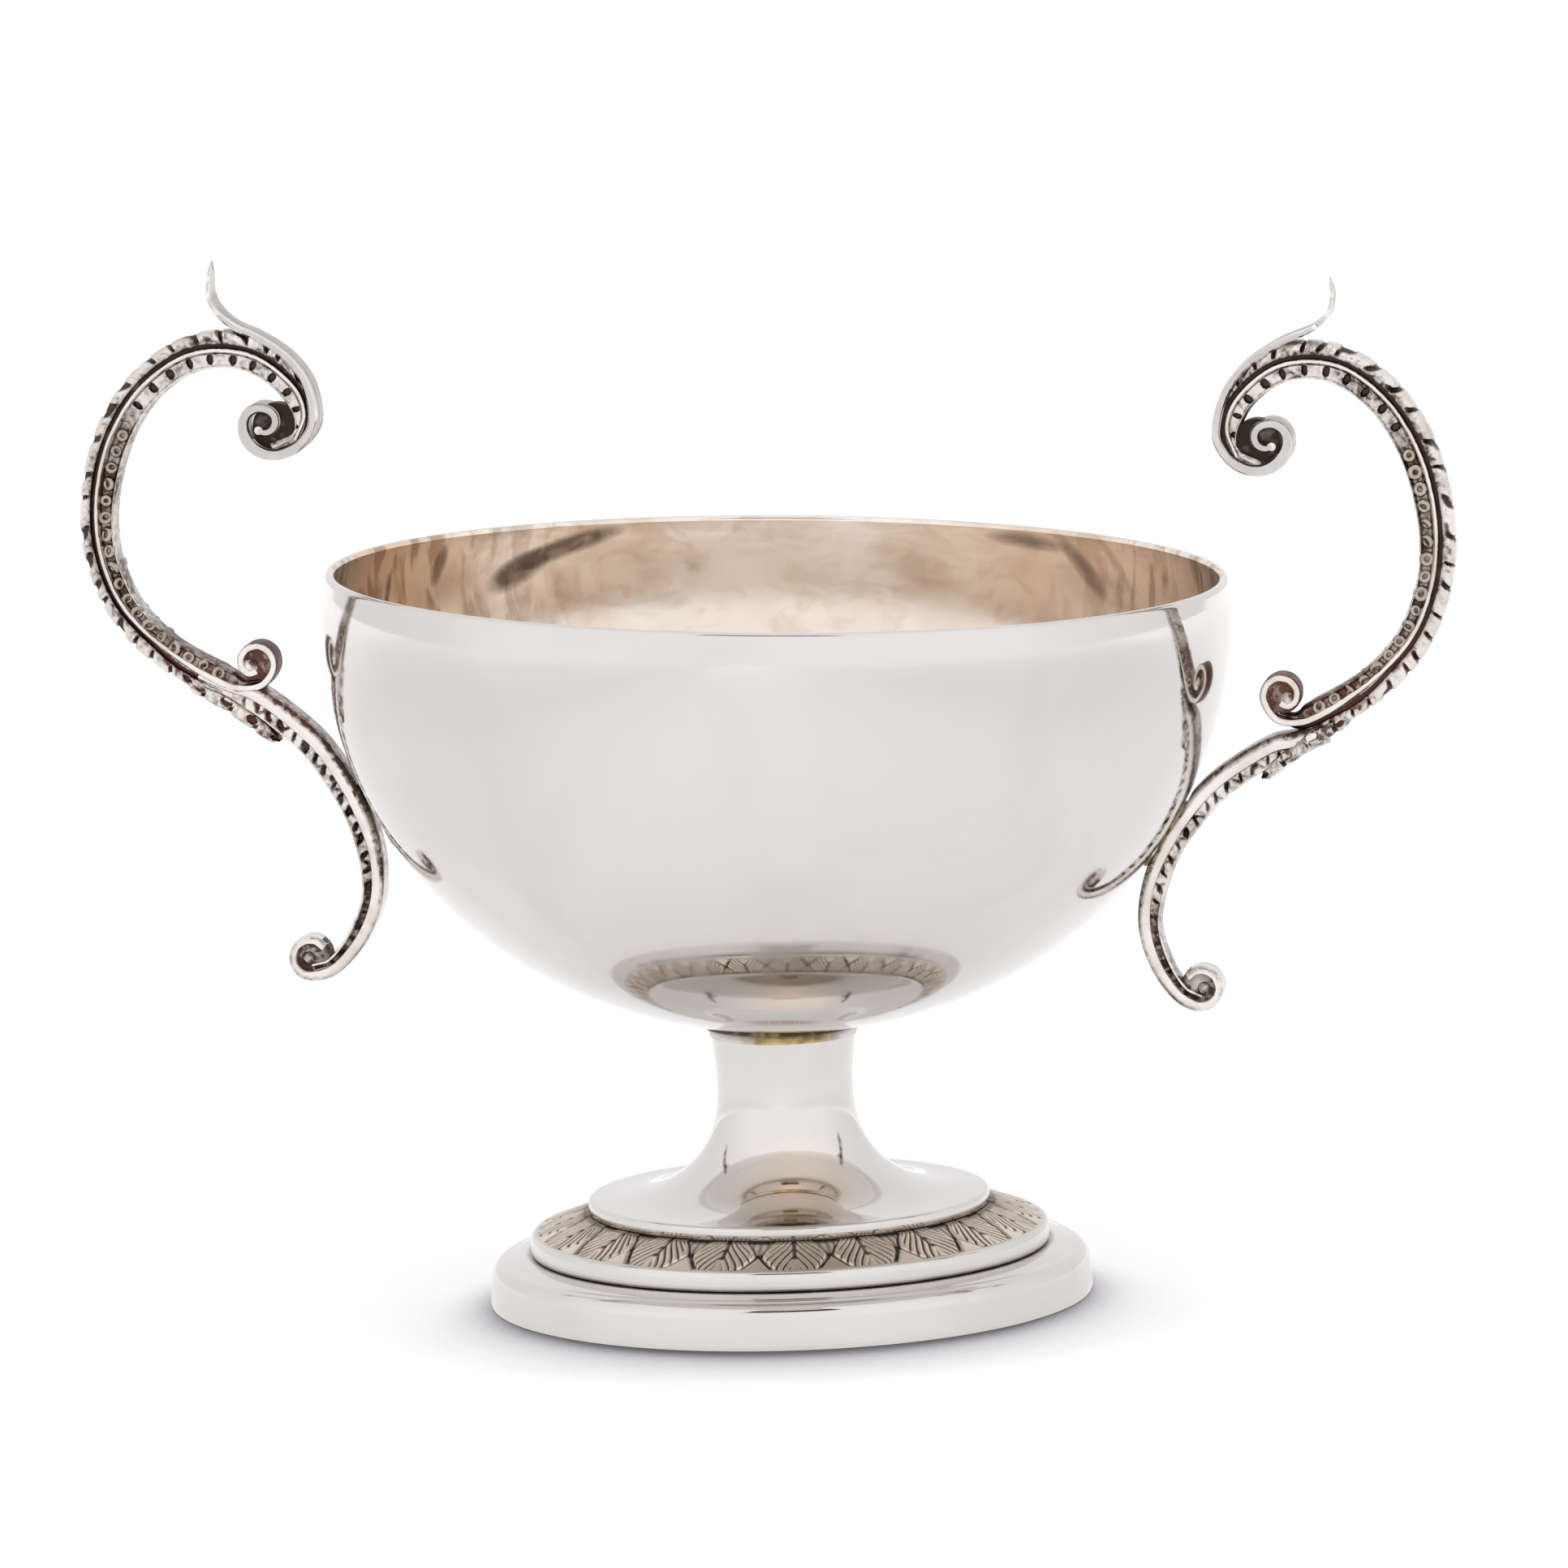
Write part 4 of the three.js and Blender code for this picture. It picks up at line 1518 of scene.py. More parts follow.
@dataclass(frozen=True)
class Volute:
    """A spiral end: its eye, its radius and angle at each end and how many points draw it."""

    eye: tuple[float, float]
    radii: tuple[float, float]
    angles: tuple[float, float]
    count: int

    def points(self, eye: Sequence[float]) -> list[list[float]]:
        """Draws it about a moved eye.

        Args:
            eye: Where the fit has the eye.

        Returns:
            Its points.
        """
        drawn = []
        for step in range(self.count):
            part = step / (self.count - 1)
            radius = self.radii[0] * (self.radii[1] / self.radii[0]) ** part
            angle = math.radians(self.angles[0] + (self.angles[1] - self.angles[0]) * part)
            drawn.append([eye[0] + radius * math.cos(angle), eye[1] + radius * math.sin(angle)])
        return drawn


class WidthTable:
    """Widths along a scroll, read with an ease from row to row."""

    def __init__(self, rows: Points) -> None:
        """Keeps the rows.

        Args:
            rows: Each a place from 0 to 1, then what is read there: a reach out, a reach in and a part
                of the full depth, or only some of them.
        """
        self.rows = np.array(rows, float)

    def at(self, place: float) -> np.ndarray:
        """Reads the table.

        Args:
            place: Where, from 0 to 1.

        Returns:
            The values that stand behind the place in a row.
        """
        following = int(np.clip(np.searchsorted(self.rows[:, 0], place), 1, len(self.rows) - 1))
        low, high = self.rows[following - 1], self.rows[following]
        return low[1:] + (high[1:] - low[1:]) * ease(place, low[0], high[0])


BACK_LINE = [
    [8, 1.9], [15.6, 6.3], [21.9, 13], [25, 21.4], [25.2, 30.5], [22.8, 39.3], [17.7, 46.9], [10.1, 51.7],
    [1.2, 51.4], [-5.6, 46], [-7, 41.5], [-5.5, 37.5], [-1.7, 35.6],
]
THUMB_LINE = [[7.3, 63.5], [7.5, 60.8], [7.4, 58.4], [6.3, 56.4]]
RIBBON_LINE = [[3.6, 55], [0.9, 53.8], [-4, 50.5], [-6.9, 46.5]]
THUMB_SHIFTS = {
    Side.LEFT: ((0, 0.7), (-0.2, 0.6), (-0.2, 0.6), (-0.1, 0.7)),
    Side.RIGHT: ((1.5, -0.9), (1.6, -0.7), (1.1, -0.6), (0.2, -0.3)),
}
CHANNEL_START = [[1.2, 1.1], [4.5, 0.65]]
WEB_EYE = [-1.7, 39.8]
JUNCTION_TURN = [[-0.3, 2], [1.4, 0.8], [4.5, 0.6]]
SCROLL_EDGE = [[-0.3, 2], [1.4, 0.85], [4.5, 0.65], [8, 1.95], [15.6, 6.3]]
LOWER_LINE = [
    [4, 1], [1, 0.2], [-3.9, -2.9], [-8.7, -6.9], [-12.5, -11.9], [-15.4, -17.3], [-17.2, -23.3],
    [-17.3, -29.5], [-15.1, -35.4], [-11.2, -40],
]
LOWER_START = [[8.5, 2.6], [4, 1]]
UPPER_VOLUTE = Volute((-0.2, 40.6), (7.7, 2.65), (180, 450), 10)
UPPER_HOOK = Volute((-0.2, 40.6), (2.5, 2.05), (485, 660), 7)
JUNCTION_HOOK = Volute((1.8, 4.9), (1.7, 2.35), (-105, -60), 3)
JUNCTION_VOLUTE = Volute((1.8, 4.9), (2.6, 3.2), (-25, 190), 6)
JUNCTION_EYE = [2.75, 4.15]
BOTTOM_VOLUTE = Volute((-7.6, -37.7), (3.5, 2.9), (258, 500), 8)
SCROLL_WIDTHS = WidthTable([
    [-0.06, 0.4, 1.4, 0.6], [-0.02, 1.3, 2.6, 0.74], [0, 2.2, 2.8, 0.8], [0.08, 2.2, 2.8, 0.86],
    [0.25, 1.8, 3.3, 0.95], [0.45, 1.6, 3.9, 1],
    [0.66, 1.6, 3.8, 1], [0.76, 2, 3.6, 0.95], [0.86, 0.8, 3.4, 0.86], [1, 0.1, 1.4, 0.7],
])
RIBBON_WIDTHS = WidthTable([
    [0, 0.3, 0.1], [0.04, 0.5, 0.75], [0.09, 0.6, 1], [0.16, 0.9, 0.8], [0.28, 1, 0.9], [0.5, 1.2, 1],
    [0.62, 1.5, 1], [0.72, 1.75, 0.98], [0.82, 1.3, 0.93], [0.93, 1.25, 0.88], [1, 1.05, 0.84],
])
LOWER_WIDTHS = WidthTable([
    [0, 3, 0.8], [0.12, 3.9, 0.95], [0.35, 4, 1], [0.6, 3.6, 1], [0.78, 3.1, 0.95], [1, 2.5, 0.85],
])
BAND_WIDTHS = WidthTable([[0, 2.2], [0.4, 2.2], [0.55, 1.8], [0.78, 1.6], [0.9, 1.2], [1, 1]])
LEAF_LINE = [[12, 1.9], [9.6, 0.5], [6.3, -1.1], [3.5, -3], [1, -4.9], [-1.4, -6.9]]
LEAF_WIDTHS = WidthTable([
    [0, 0.3, 0.4, 0.5], [0.14, 1, 1, 0.9], [0.4, 1.1, 1.2, 1], [0.8, 1, 1.2, 1], [0.94, 0.6, 0.9, 0.9],
    [1, 0.1, 0.2, 0.5],
])


@dataclass
class Handle:
    """One handle: large scroll, ribbon with thumb leaf, lower scroll and the leaf at their joint."""

    shop: Workshop
    side: Side
    bowl: Bowl
    upper: Fit
    lower: Fit
    seat_below_belly: float = 31.3
    junction_above_seat: float = 16.3
    junction_out: float = 71.99
    scroll_half_depth: float = 2.8
    ridge_thickness: float = 1
    ridge_proud: float = 0.3
    ridge_inset: float = 0.7
    ribbon_thickness: float = 1.1
    ribbon_half_depth: float = 3.2
    lower_half_depth: float = 2.3
    strip_proud: float = 0.35
    web_half_depth: float = 1.6
    bowl_gap: float = 0.3
    leaf_half_depth: float = 2.75
    channel_depth: float = 0.75
    bead_pitch: float = 2.4
    bead_radius: float = 1.1
    bead_proud: float = 0.3
    rim_width: float = 0.5
    shelf_width: float = 0.85
    groove_depth: float = 1.05
    hole_pitch: float = 3.7
    hole_half_length: float = 0.68
    hole_half_width: float = 0.52
    lobe_pitch: float = 3.1
    wedge_depth: float = 0.7
    leaf_gap: float = 0.1
    notch_pitch: float = 2.45
    notch_width: float = 0.85
    notch_depth: float = 0.75
    channel_end: float = 0.48
    channel_steps: int = 60
    scroll_rows: int = 820
    strip_rows: int = 420
    lower_rows: int = 300
    lower_strip_rows: int = 320
    joint_rows: int = 120

    @property
    def name(self) -> str:
        """The side's name."""
        return self.side.name.lower()

    @property
    def seed(self) -> float:
        """Where this handle's unevenness starts, so that the two handles differ."""
        return 1.0 + self.side.value

    def place(self, points: np.ndarray) -> np.ndarray:
        """Moves points from the handle's plane to the cup's frame.

        Args:
            points: Out, depth and up from the junction's inner corner, in millimetres.

        Returns:
            The moved points.
        """
        up = self.bowl.depth - self.seat_below_belly + self.junction_above_seat
        moved = points + np.array([self.junction_out, 0, up])
        way = math.cos(self.side.value)
        return self.bowl.place(moved * np.array([way, way, 1]))

    def piece(self, name: str, shells: Sequence[Shell], material: bpy.types.Material) -> bpy.types.Object:
        """Makes one piece of this handle.

        Args:
            name: What it is called after the side's name.
            shells: Its parts, in the handle's plane.
            material: Its finish.

        Returns:
            The piece, in the cup's frame.
        """
        shell = Shell.together(shells)
        mesh = shaded_mesh(f"{self.name}_{name}", self.place(shell.points), shell.faces, shell.shade)
        mesh.materials.append(material)
        return finished(linked(f"{self.name}_{name}", mesh))

    def ridge_seat(self, place: float) -> float:
        """How far in from the drawn line the ridge sits, at a place on the large scroll."""
        return float(self.ridge_inset * ease(place, 0.03, 0.14))

    def leaf_relief(self, place: float, length: float, turn: np.ndarray) -> ArrayPair:
        """Lobes of the leafy edge, with a wedge between each two.

        Args:
            place: From 0 at the junction to 1 in the upper volute.
            length: The same in millimetres.
            turn: From 0 at the groove to 1 at the outer edge.

        Returns:
            How deep the wedge is and how full the lobe is, each from 0 to 1.
        """
        phase = length / self.lobe_pitch - 3.4 * float(ease(place, 0.2, 0.72))
        phase += 0.3 * wobble(length * 0.6, self.seed)
        away = np.abs((phase + 0.3 * turn) % 1 - 0.5)
        half = 0.04 + self.leaf_gap * turn
        wedge = ease(away, half + 0.07, half - 0.03) * ease(turn, 0.05, 0.35)
        wedge = wedge * float(ease(place, -0.03, 0.0) * ease(place, 0.94, 0.88))
        return wedge, np.sin(math.pi * np.clip(away, 0, 0.5)) ** 0.6

    def scroll_section(self, place: float, length: float) -> ArrayPair:
        """Section of the large scroll: rim, channel, seat of the ridge, groove and leafy edge.

        Args:
            place: From 0 at the junction to 1 in the upper volute.
            length: The same in millimetres.

        Returns:
            Corners all the way round, and their shade.
        """
        out, inward, part = SCROLL_WIDTHS.at(place)
        deep = part * self.scroll_half_depth
        seat = self.ridge_seat(place)
        uneven = 0.05 * wobble(length, self.seed)
        open_channel = float(ease(place, self.channel_end + 0.06, self.channel_end))
        near = seat + self.shelf_width
        far = max(inward - self.rim_width, near + 0.3)
        floor = np.linspace(far, near, 10)
        sunk = self.channel_depth * open_channel + 0.1 * (1 - open_channel)
        off = ((length + 4 * uneven) / self.hole_pitch % 1 - 0.5) * self.hole_pitch
        beside, along = (floor - near - 0.72) / self.hole_half_length, off / self.hole_half_width
        hole = ease(np.hypot(along, beside), 1.2, 0.8) * (1 - open_channel) * ease(place, 0.97, 0.93)
        floor_deep = deep - sunk - 0.7 * hole + uneven
        floor_deep[0] = floor_deep[-1] = deep - sunk * 0.6
        floor_shade = np.maximum(0.18 + 0.42 * open_channel, hole)
        floor_shade[0] = max(floor_shade[0], 0.5)
        start = -min(0.62 - seat, out * 0.6)
        leaf = np.linspace(start, -out, 10)
        turn = (start - leaf) / max(start + out, 0.01)
        wedge, full = self.leaf_relief(place, length, turn)
        leaf_deep = deep * (0.4 + 0.5 * np.sqrt(np.clip(1 - turn**2, 0, 1))) + uneven
        leaf_deep += 0.22 * full * (1 - turn) - self.wedge_depth * wedge
        leaf_deep += 0.1 * np.sin(4.3 * length + 6 * turn + self.seed) * np.sin(2.2 * length - 5 * turn)
        leaf_out = leaf * np.where(leaf < 0, 1 - (0.02 + 0.13 * wedge) * turn, 1)
        groove = seat - 0.05, seat - min(0.5, 0.55 * seat + 0.45 * out)
        across = [inward, inward - 0.1, inward - 0.32, *floor]
        across += [seat + 0.7, seat + 0.06, *groove, *leaf_out]
        depth = [deep * 0.45, deep * 0.82, deep - 0.04, *floor_deep, deep - 0.3, deep - 0.3]
        depth += [deep - self.groove_depth, deep - self.groove_depth, *np.maximum(leaf_deep, 0.3)]
        fold = ease(np.abs(full - 1), 0.03, 0.0) * ease(turn, 0.8, 0.4) * 0.3
        leafy = np.maximum(np.maximum(wedge, fold), 0.05 + 0.6 * (1 - turn) ** 6)
        fillet = 0.65 * float(ease(place, 0.2, 0.08))
        rim = [max(least, fillet) for least in (0.35, 0.15, 0.04)]
        return both_faces(across, depth, [*rim, *floor_shade, 0.5, 0.5, 1, 0.95, *leafy])

    def ridge_section(self, place: float, length: float) -> ArrayPair:
        """Section of the raised ridge.

        Args:
            place: From 0 to 1 along its line.
            length: The same in millimetres.

        Returns:
            Corners all the way round, and their shade.
        """
        part = SCROLL_WIDTHS.at(place)[2]
        seat = self.ridge_seat(place)
        thick = self.ridge_thickness - 0.4 * seat / self.ridge_inset
        thick += 0.05 * wobble(length, self.seed + 1)
        corners = rounded_bar(seat, seat + thick, part * self.scroll_half_depth + self.ridge_proud, 0.3)
        dark = ease(corners[:, 0], seat + 0.14, seat + 0.02)
        return corners, dark * (0.5 + 0.4 * float(ease(place, 0.06, 0.0)))

    def build_large_scroll(self) -> None:
        """Builds the large scroll, its volute at the junction and the rings in its channel."""
        back = self.upper.move(BACK_LINE)
        eye = self.upper.spot(JUNCTION_VOLUTE.eye)
        line = Line(back)
        longer = Line([*self.upper.move(CHANNEL_START), *back])
        lead = longer.length - line.length

        def body_section(place: float, length: float) -> ArrayPair:
            """The scroll's section, with places told on the line without its lead."""
            return self.scroll_section((length - lead) / line.length, length)

        body = swept(longer, self.scroll_rows, body_section)
        curl = [*JUNCTION_HOOK.points(eye), *JUNCTION_VOLUTE.points(eye)]
        ridge_line = Line([*curl, *self.upper.move(JUNCTION_TURN), *back[:-1]])
        wound = ridge_line.length - line.length

        def ridge_section(place: float, length: float) -> ArrayPair:
            """The ridge's section, with places told on the scroll's line."""
            return self.ridge_section(max((length - wound) / line.length, 0), length)

        ridge = swept(ridge_line, self.strip_rows, ridge_section)
        web = dome(eye, radius=2.75, half=self.web_half_depth - 0.2, swell=0.2, shade=(0.72, 1))
        middle = self.upper.spot(JUNCTION_EYE)
        button = dome(middle, radius=1.2, half=self.web_half_depth + 0.3, swell=0.6, shade=(0.05, 0.45))
        piece = self.piece("scroll", [body, ridge, web, button], self.shop.finishes.cast)
        settle(piece, Slot.CAST, f"{self.name}_large_scroll")
        lines = []
        for way in (-1, 1):
            points = []
            for place in np.linspace(0, self.channel_end, self.channel_steps):
                inward, part = SCROLL_WIDTHS.at(place)[1:]
                middle = (inward - self.rim_width + self.ridge_seat(place) + self.shelf_width) / 2
                flat = line.beside(place, middle)
                deep = part * self.scroll_half_depth - self.channel_depth + self.bead_proud
                points.append([flat[0], way * deep, flat[1]])
            lines.append(self.place(np.array(points)))
        name, finish = f"{self.name}_channel_beads", self.shop.finishes.beads
        row = self.shop.beads.string(name, lines, self.bead_pitch, self.bead_radius, finish)
        settle(row, Slot.CAST)

    def ribbon_section(self, place: float, length: float) -> ArrayPair:
        """Section of the ribbon: thin, with a raised border at each edge of its broad face.

        Args:
            place: From 0 to 1 along its line.
            length: The same in millimetres.

        Returns:
            Corners all the way round, and their shade.
        """
        inward, part = RIBBON_WIDTHS.at(place)
        thick, half = max(inward * self.ribbon_thickness, 0.1), part * self.ribbon_half_depth
        lobe = 1 - 0.1 * float(pulse(length, 2.4, 0.7, 0.9)) * float(ease(place, 0.16, 0.1))
        shares = np.array([0.12, 0.4, 0.74, 0.86, 0.97, 1])
        shares = np.concatenate([-shares[::-1], [0], shares]) * lobe
        aside = np.abs(shares)
        dip = 0.16 * ease(aside, 0.88, 0.74) + 0.12 * ease(aside, 0.14, 0.02)
        dip = np.minimum(dip, thick * 0.3)
        inset = np.where(aside > 0.95, min(0.25, thick * 0.3), 0) + dip
        corners = np.vstack([
            np.column_stack([inset, shares * half]),
            np.column_stack([thick - inset, shares * half])[::-1],
        ])
        shade = np.maximum(np.clip(dip * 2.4, 0, 0.55), 0.3 * (aside > 0.99))
        return corners, np.concatenate([shade, shade[::-1]])

    def build_ribbon(self) -> None:
        """Builds the thumb leaf, the ribbon over the scroll's back and the upper volute."""
        eye = self.upper.spot(UPPER_VOLUTE.eye)
        leaf = self.upper.move(THUMB_LINE)
        for step, (out, up) in enumerate(THUMB_SHIFTS[self.side]):
            leaf[step] = [leaf[step][0] + out, leaf[step][1] + up]
        curl = [*UPPER_VOLUTE.points(eye), *UPPER_HOOK.points(eye)]
        line = Line([*leaf, *self.upper.move(RIBBON_LINE), *curl])
        strip = swept(line, self.strip_rows, self.ribbon_section, start=0.0005)
        middle, half = line.beside(1, 0.58), self.ribbon_half_depth * 0.82
        tip = dome(middle, radius=0.6, half=half, swell=0.05, shade=(0, 0.2), steps=18)
        middle, half = self.upper.spot(WEB_EYE), self.web_half_depth - 0.3
        web = dome(middle, radius=3.4, half=half, swell=0.1, shade=(1, 1))
        piece = self.piece("ribbon", [strip, tip, web], self.shop.finishes.ribbon)
        settle(piece, Slot.POLISHED, f"{self.name}_ribbon_and_thumb_leaf")

    def lower_section(self, place: float, length: float) -> ArrayPair:
        """Section of the lower scroll: the seat of its band, a row of notches and an outer rim.

        Args:
            place: From 0 to 1 along its line.
            length: The same in millimetres.

        Returns:
            Corners all the way round, and their shade.
        """
        inward, part = LOWER_WIDTHS.at(place)
        deep = part * self.lower_half_depth
        band = float(BAND_WIDTHS.at(place * 0.82)[0])
        row = np.linspace(band + 0.02, inward - 0.45, 8)
        solid = float(ease(place, 0.62, 0.74))
        slant = np.linspace(0.5, -0.5, 8)
        shift = 0.5 * wobble(length * 1.3, self.seed + 2)
        wide = self.notch_width * (1 + 0.5 * wobble(length * 0.7, self.seed + 3))
        second = pulse(length + 1.2 - slant, 1.7 * self.notch_pitch, 0.5 * self.notch_width, 0.4)
        notch = np.maximum(pulse(length + shift + slant, self.notch_pitch, wide, 0.5), 0.7 * second)
        notch = np.maximum(notch, solid * (0.7 + 0.25 * wobble(length * 2.3, self.seed)))
        notch = notch * float(ease(place, 0.08, 0.14))
        hole = notch * np.clip(np.sin(np.linspace(0.15, math.pi - 0.1, 8)), 0, 1) ** 0.5
        across = [0.15, band - 0.2, *row, inward - 0.36, inward - 0.1, inward]
        floor = deep - 0.05 - self.notch_depth * hole
        depth = [deep * 0.8, deep * 0.9, *floor, deep - 0.02, deep - 0.1, deep - 0.5]
        return both_faces(across, depth, [0.8, 0.5, *np.maximum(hole, 0.12), 0.1, 0.08, 0.3])

    def strip_section(self, place: float, length: float) -> ArrayPair:
        """Section of the smooth band on the lower scroll, dark at its edge along the bowl.

        Args:
            place: From 0 to 1 along its line.
            length: The same in millimetres.

        Returns:
            Corners all the way round, and their shade.
        """
        band = float(BAND_WIDTHS.at(place)[0])
        deep = self.lower_half_depth + self.strip_proud
        deep -= 0.35 * float(ease(place, 0.85, 1)) + 0.5 * float(ease(place, 0.1, 0))
        across = np.array([0, 0.1, 0.26, 0.45, 0.7, 1.0, band * 0.7, band - 0.2, band - 0.05, band])
        across = np.maximum.accumulate(np.minimum(across, band))
        sag = np.array([0.55, 0.36, 0.26, 0.14, 0.05, 0, 0, 0.05, 0.2, 0.4])
        sag = sag + 0.03 * wobble(length, self.seed + 4)
        along_bowl = max(float(ease(place, 0.62, 0.4)), 0.12)
        dark = np.array([0.35, 0.75, 0.8, 0.62, 0.25, 0.04, 0, 0, 0.15, 0.5]) * along_bowl
        return both_faces(across, deep - sag, dark)

    def under_strip(self, points: np.ndarray) -> np.ndarray:
        """Lowers what would stand above the large scroll's edge at the junction down to that edge.

        Args:
            points: Out, depth and up from the junction's inner corner.

        Returns:
            The same points, with the lower scroll's start cut along the edge.
        """
        edge = np.array(self.upper.move(SCROLL_EDGE))
        moved = points.copy()
        beside = moved[:, 0] > edge[0, 0] - 0.4
        limit = np.interp(moved[:, 0], edge[:, 0], edge[:, 1])
        moved[beside, 2] = np.minimum(moved[beside, 2], limit[beside])
        return moved

    def clear_of_bowl(self, points: np.ndarray) -> np.ndarray:
        """Moves what would cut into the bowl to just clear of it.

        Args:
            points: Out, depth and up from the junction's inner corner.

        Returns:
            The same points, none of them nearer to the bowl than the joint's gap.
        """
        moved = points.copy()
        base = self.bowl.depth - self.seat_below_belly + self.junction_above_seat
        across, down = self.junction_out + moved[:, 0], self.bowl.depth - (base + moved[:, 2])
        near = (down > 0) & (down < self.bowl.depth)
        level = np.zeros(len(moved))
        radial = np.hypot(across, moved[:, 1])
        power = self.bowl.fullness
        round_share, down_share = radial[near] / self.bowl.radius, down[near] / self.bowl.depth
        level[near] = (round_share**power + down_share**power) ** (1 / power)
        least = 1 + self.bowl_gap / self.bowl.radius
        inside = near & (level < least)
        grow = least / level[inside]
        moved[inside, 0] += across[inside] * (grow - 1)
        moved[inside, 2] -= down[inside] * (grow - 1)
        return moved

    def build_lower_scroll(self) -> None:
        """Builds the lower scroll and its bottom volute."""
        eye = self.lower.spot(BOTTOM_VOLUTE.eye)
        drawn = self.lower.move([*LOWER_START, *LOWER_LINE[1:]])
        curl = BOTTOM_VOLUTE.points(eye)
        body = swept(Line([*drawn, curl[0]]), self.lower_rows, self.lower_section)
        strip = swept(Line([*drawn, *curl]), self.lower_strip_rows, self.strip_section)
        web = dome(eye, radius=2.9, half=self.web_half_depth - 0.35, swell=0.1, shade=(0.5, 1))
        middle = eye + np.array([0.5, -0.3])
        button = dome(middle, radius=1.0, half=self.web_half_depth - 0.1, swell=0.4, shade=(0.3, 0.8))
        shells = [body, strip, web, button]
        for shell in shells:
            shell.points = self.clear_of_bowl(self.under_strip(shell.points))
        piece = self.piece("bottom_scroll", shells, self.shop.finishes.cast)
        settle(piece, Slot.CAST, f"{self.name}_lower_scroll")

    def leaf_section(self, place: float, length: float) -> ArrayPair:
        """Section of the leaf at the junction: tongues that overlap, each with a dark recess below it.

        Args:
            place: From 0 on the large scroll to 1 at the leaf's point.
            length: The same in millimetres.

        Returns:
            Corners all the way round, and their shade.
        """
        above, below, part = LEAF_WIDTHS.at(place)
        deep = part * self.leaf_half_depth
        lobe = (place * 3.6 + 0.25) % 1
        swell = math.sin(math.pi * min(lobe * 0.85 + 0.12, 1)) ** 0.5
        share = np.linspace(0, 1, 15)
        across = below - (above + below) * share
        across = np.where(across > 0, across * (0.62 + 0.38 * swell), across)
        gap = ease(abs(lobe - 0.97), 0.13, 0.04) * ease(share, 0.75, 0.35)
        recess = ease(np.hypot((lobe - 0.72) / 0.2, (share - 0.62) / 0.26), 1.1, 0.75)
        round_off = np.sqrt(np.clip(1 - (2 * share - 1) ** 4, 0, 1))
        depth = deep * (0.5 + 0.45 * round_off) - self.wedge_depth * np.maximum(gap, recess)
        depth += 0.2 * swell * (1 - share)
        depth += 0.08 * np.sin(5.3 * length + 7 * share + self.seed)
        shade = np.maximum(np.maximum(gap, recess), 0.12 + 0.7 * ease(share, 0.86, 0.98))
        return both_faces(across, depth, shade)

    def build_junction_leaf(self) -> None:
        """Builds the leaf over the joint, which carries the leafy edge on down the lower scroll."""
        leaf = swept(Line(self.upper.move(LEAF_LINE)), self.joint_rows, self.leaf_section)
        piece = self.piece("joint_leaf", [leaf], self.shop.finishes.cast)
        settle(piece, Slot.CHASED, f"{self.name}_junction_leaf")

    def dress_pad(self) -> None:
        """Gives the solder between the lower scroll and the bowl its finish."""
        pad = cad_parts[f"{self.name}_solder_pad"]
        pad.data.materials.clear()
        pad.data.materials.append(self.shop.finishes.solder)
        LOG.info("%s: dressed", pad.name)


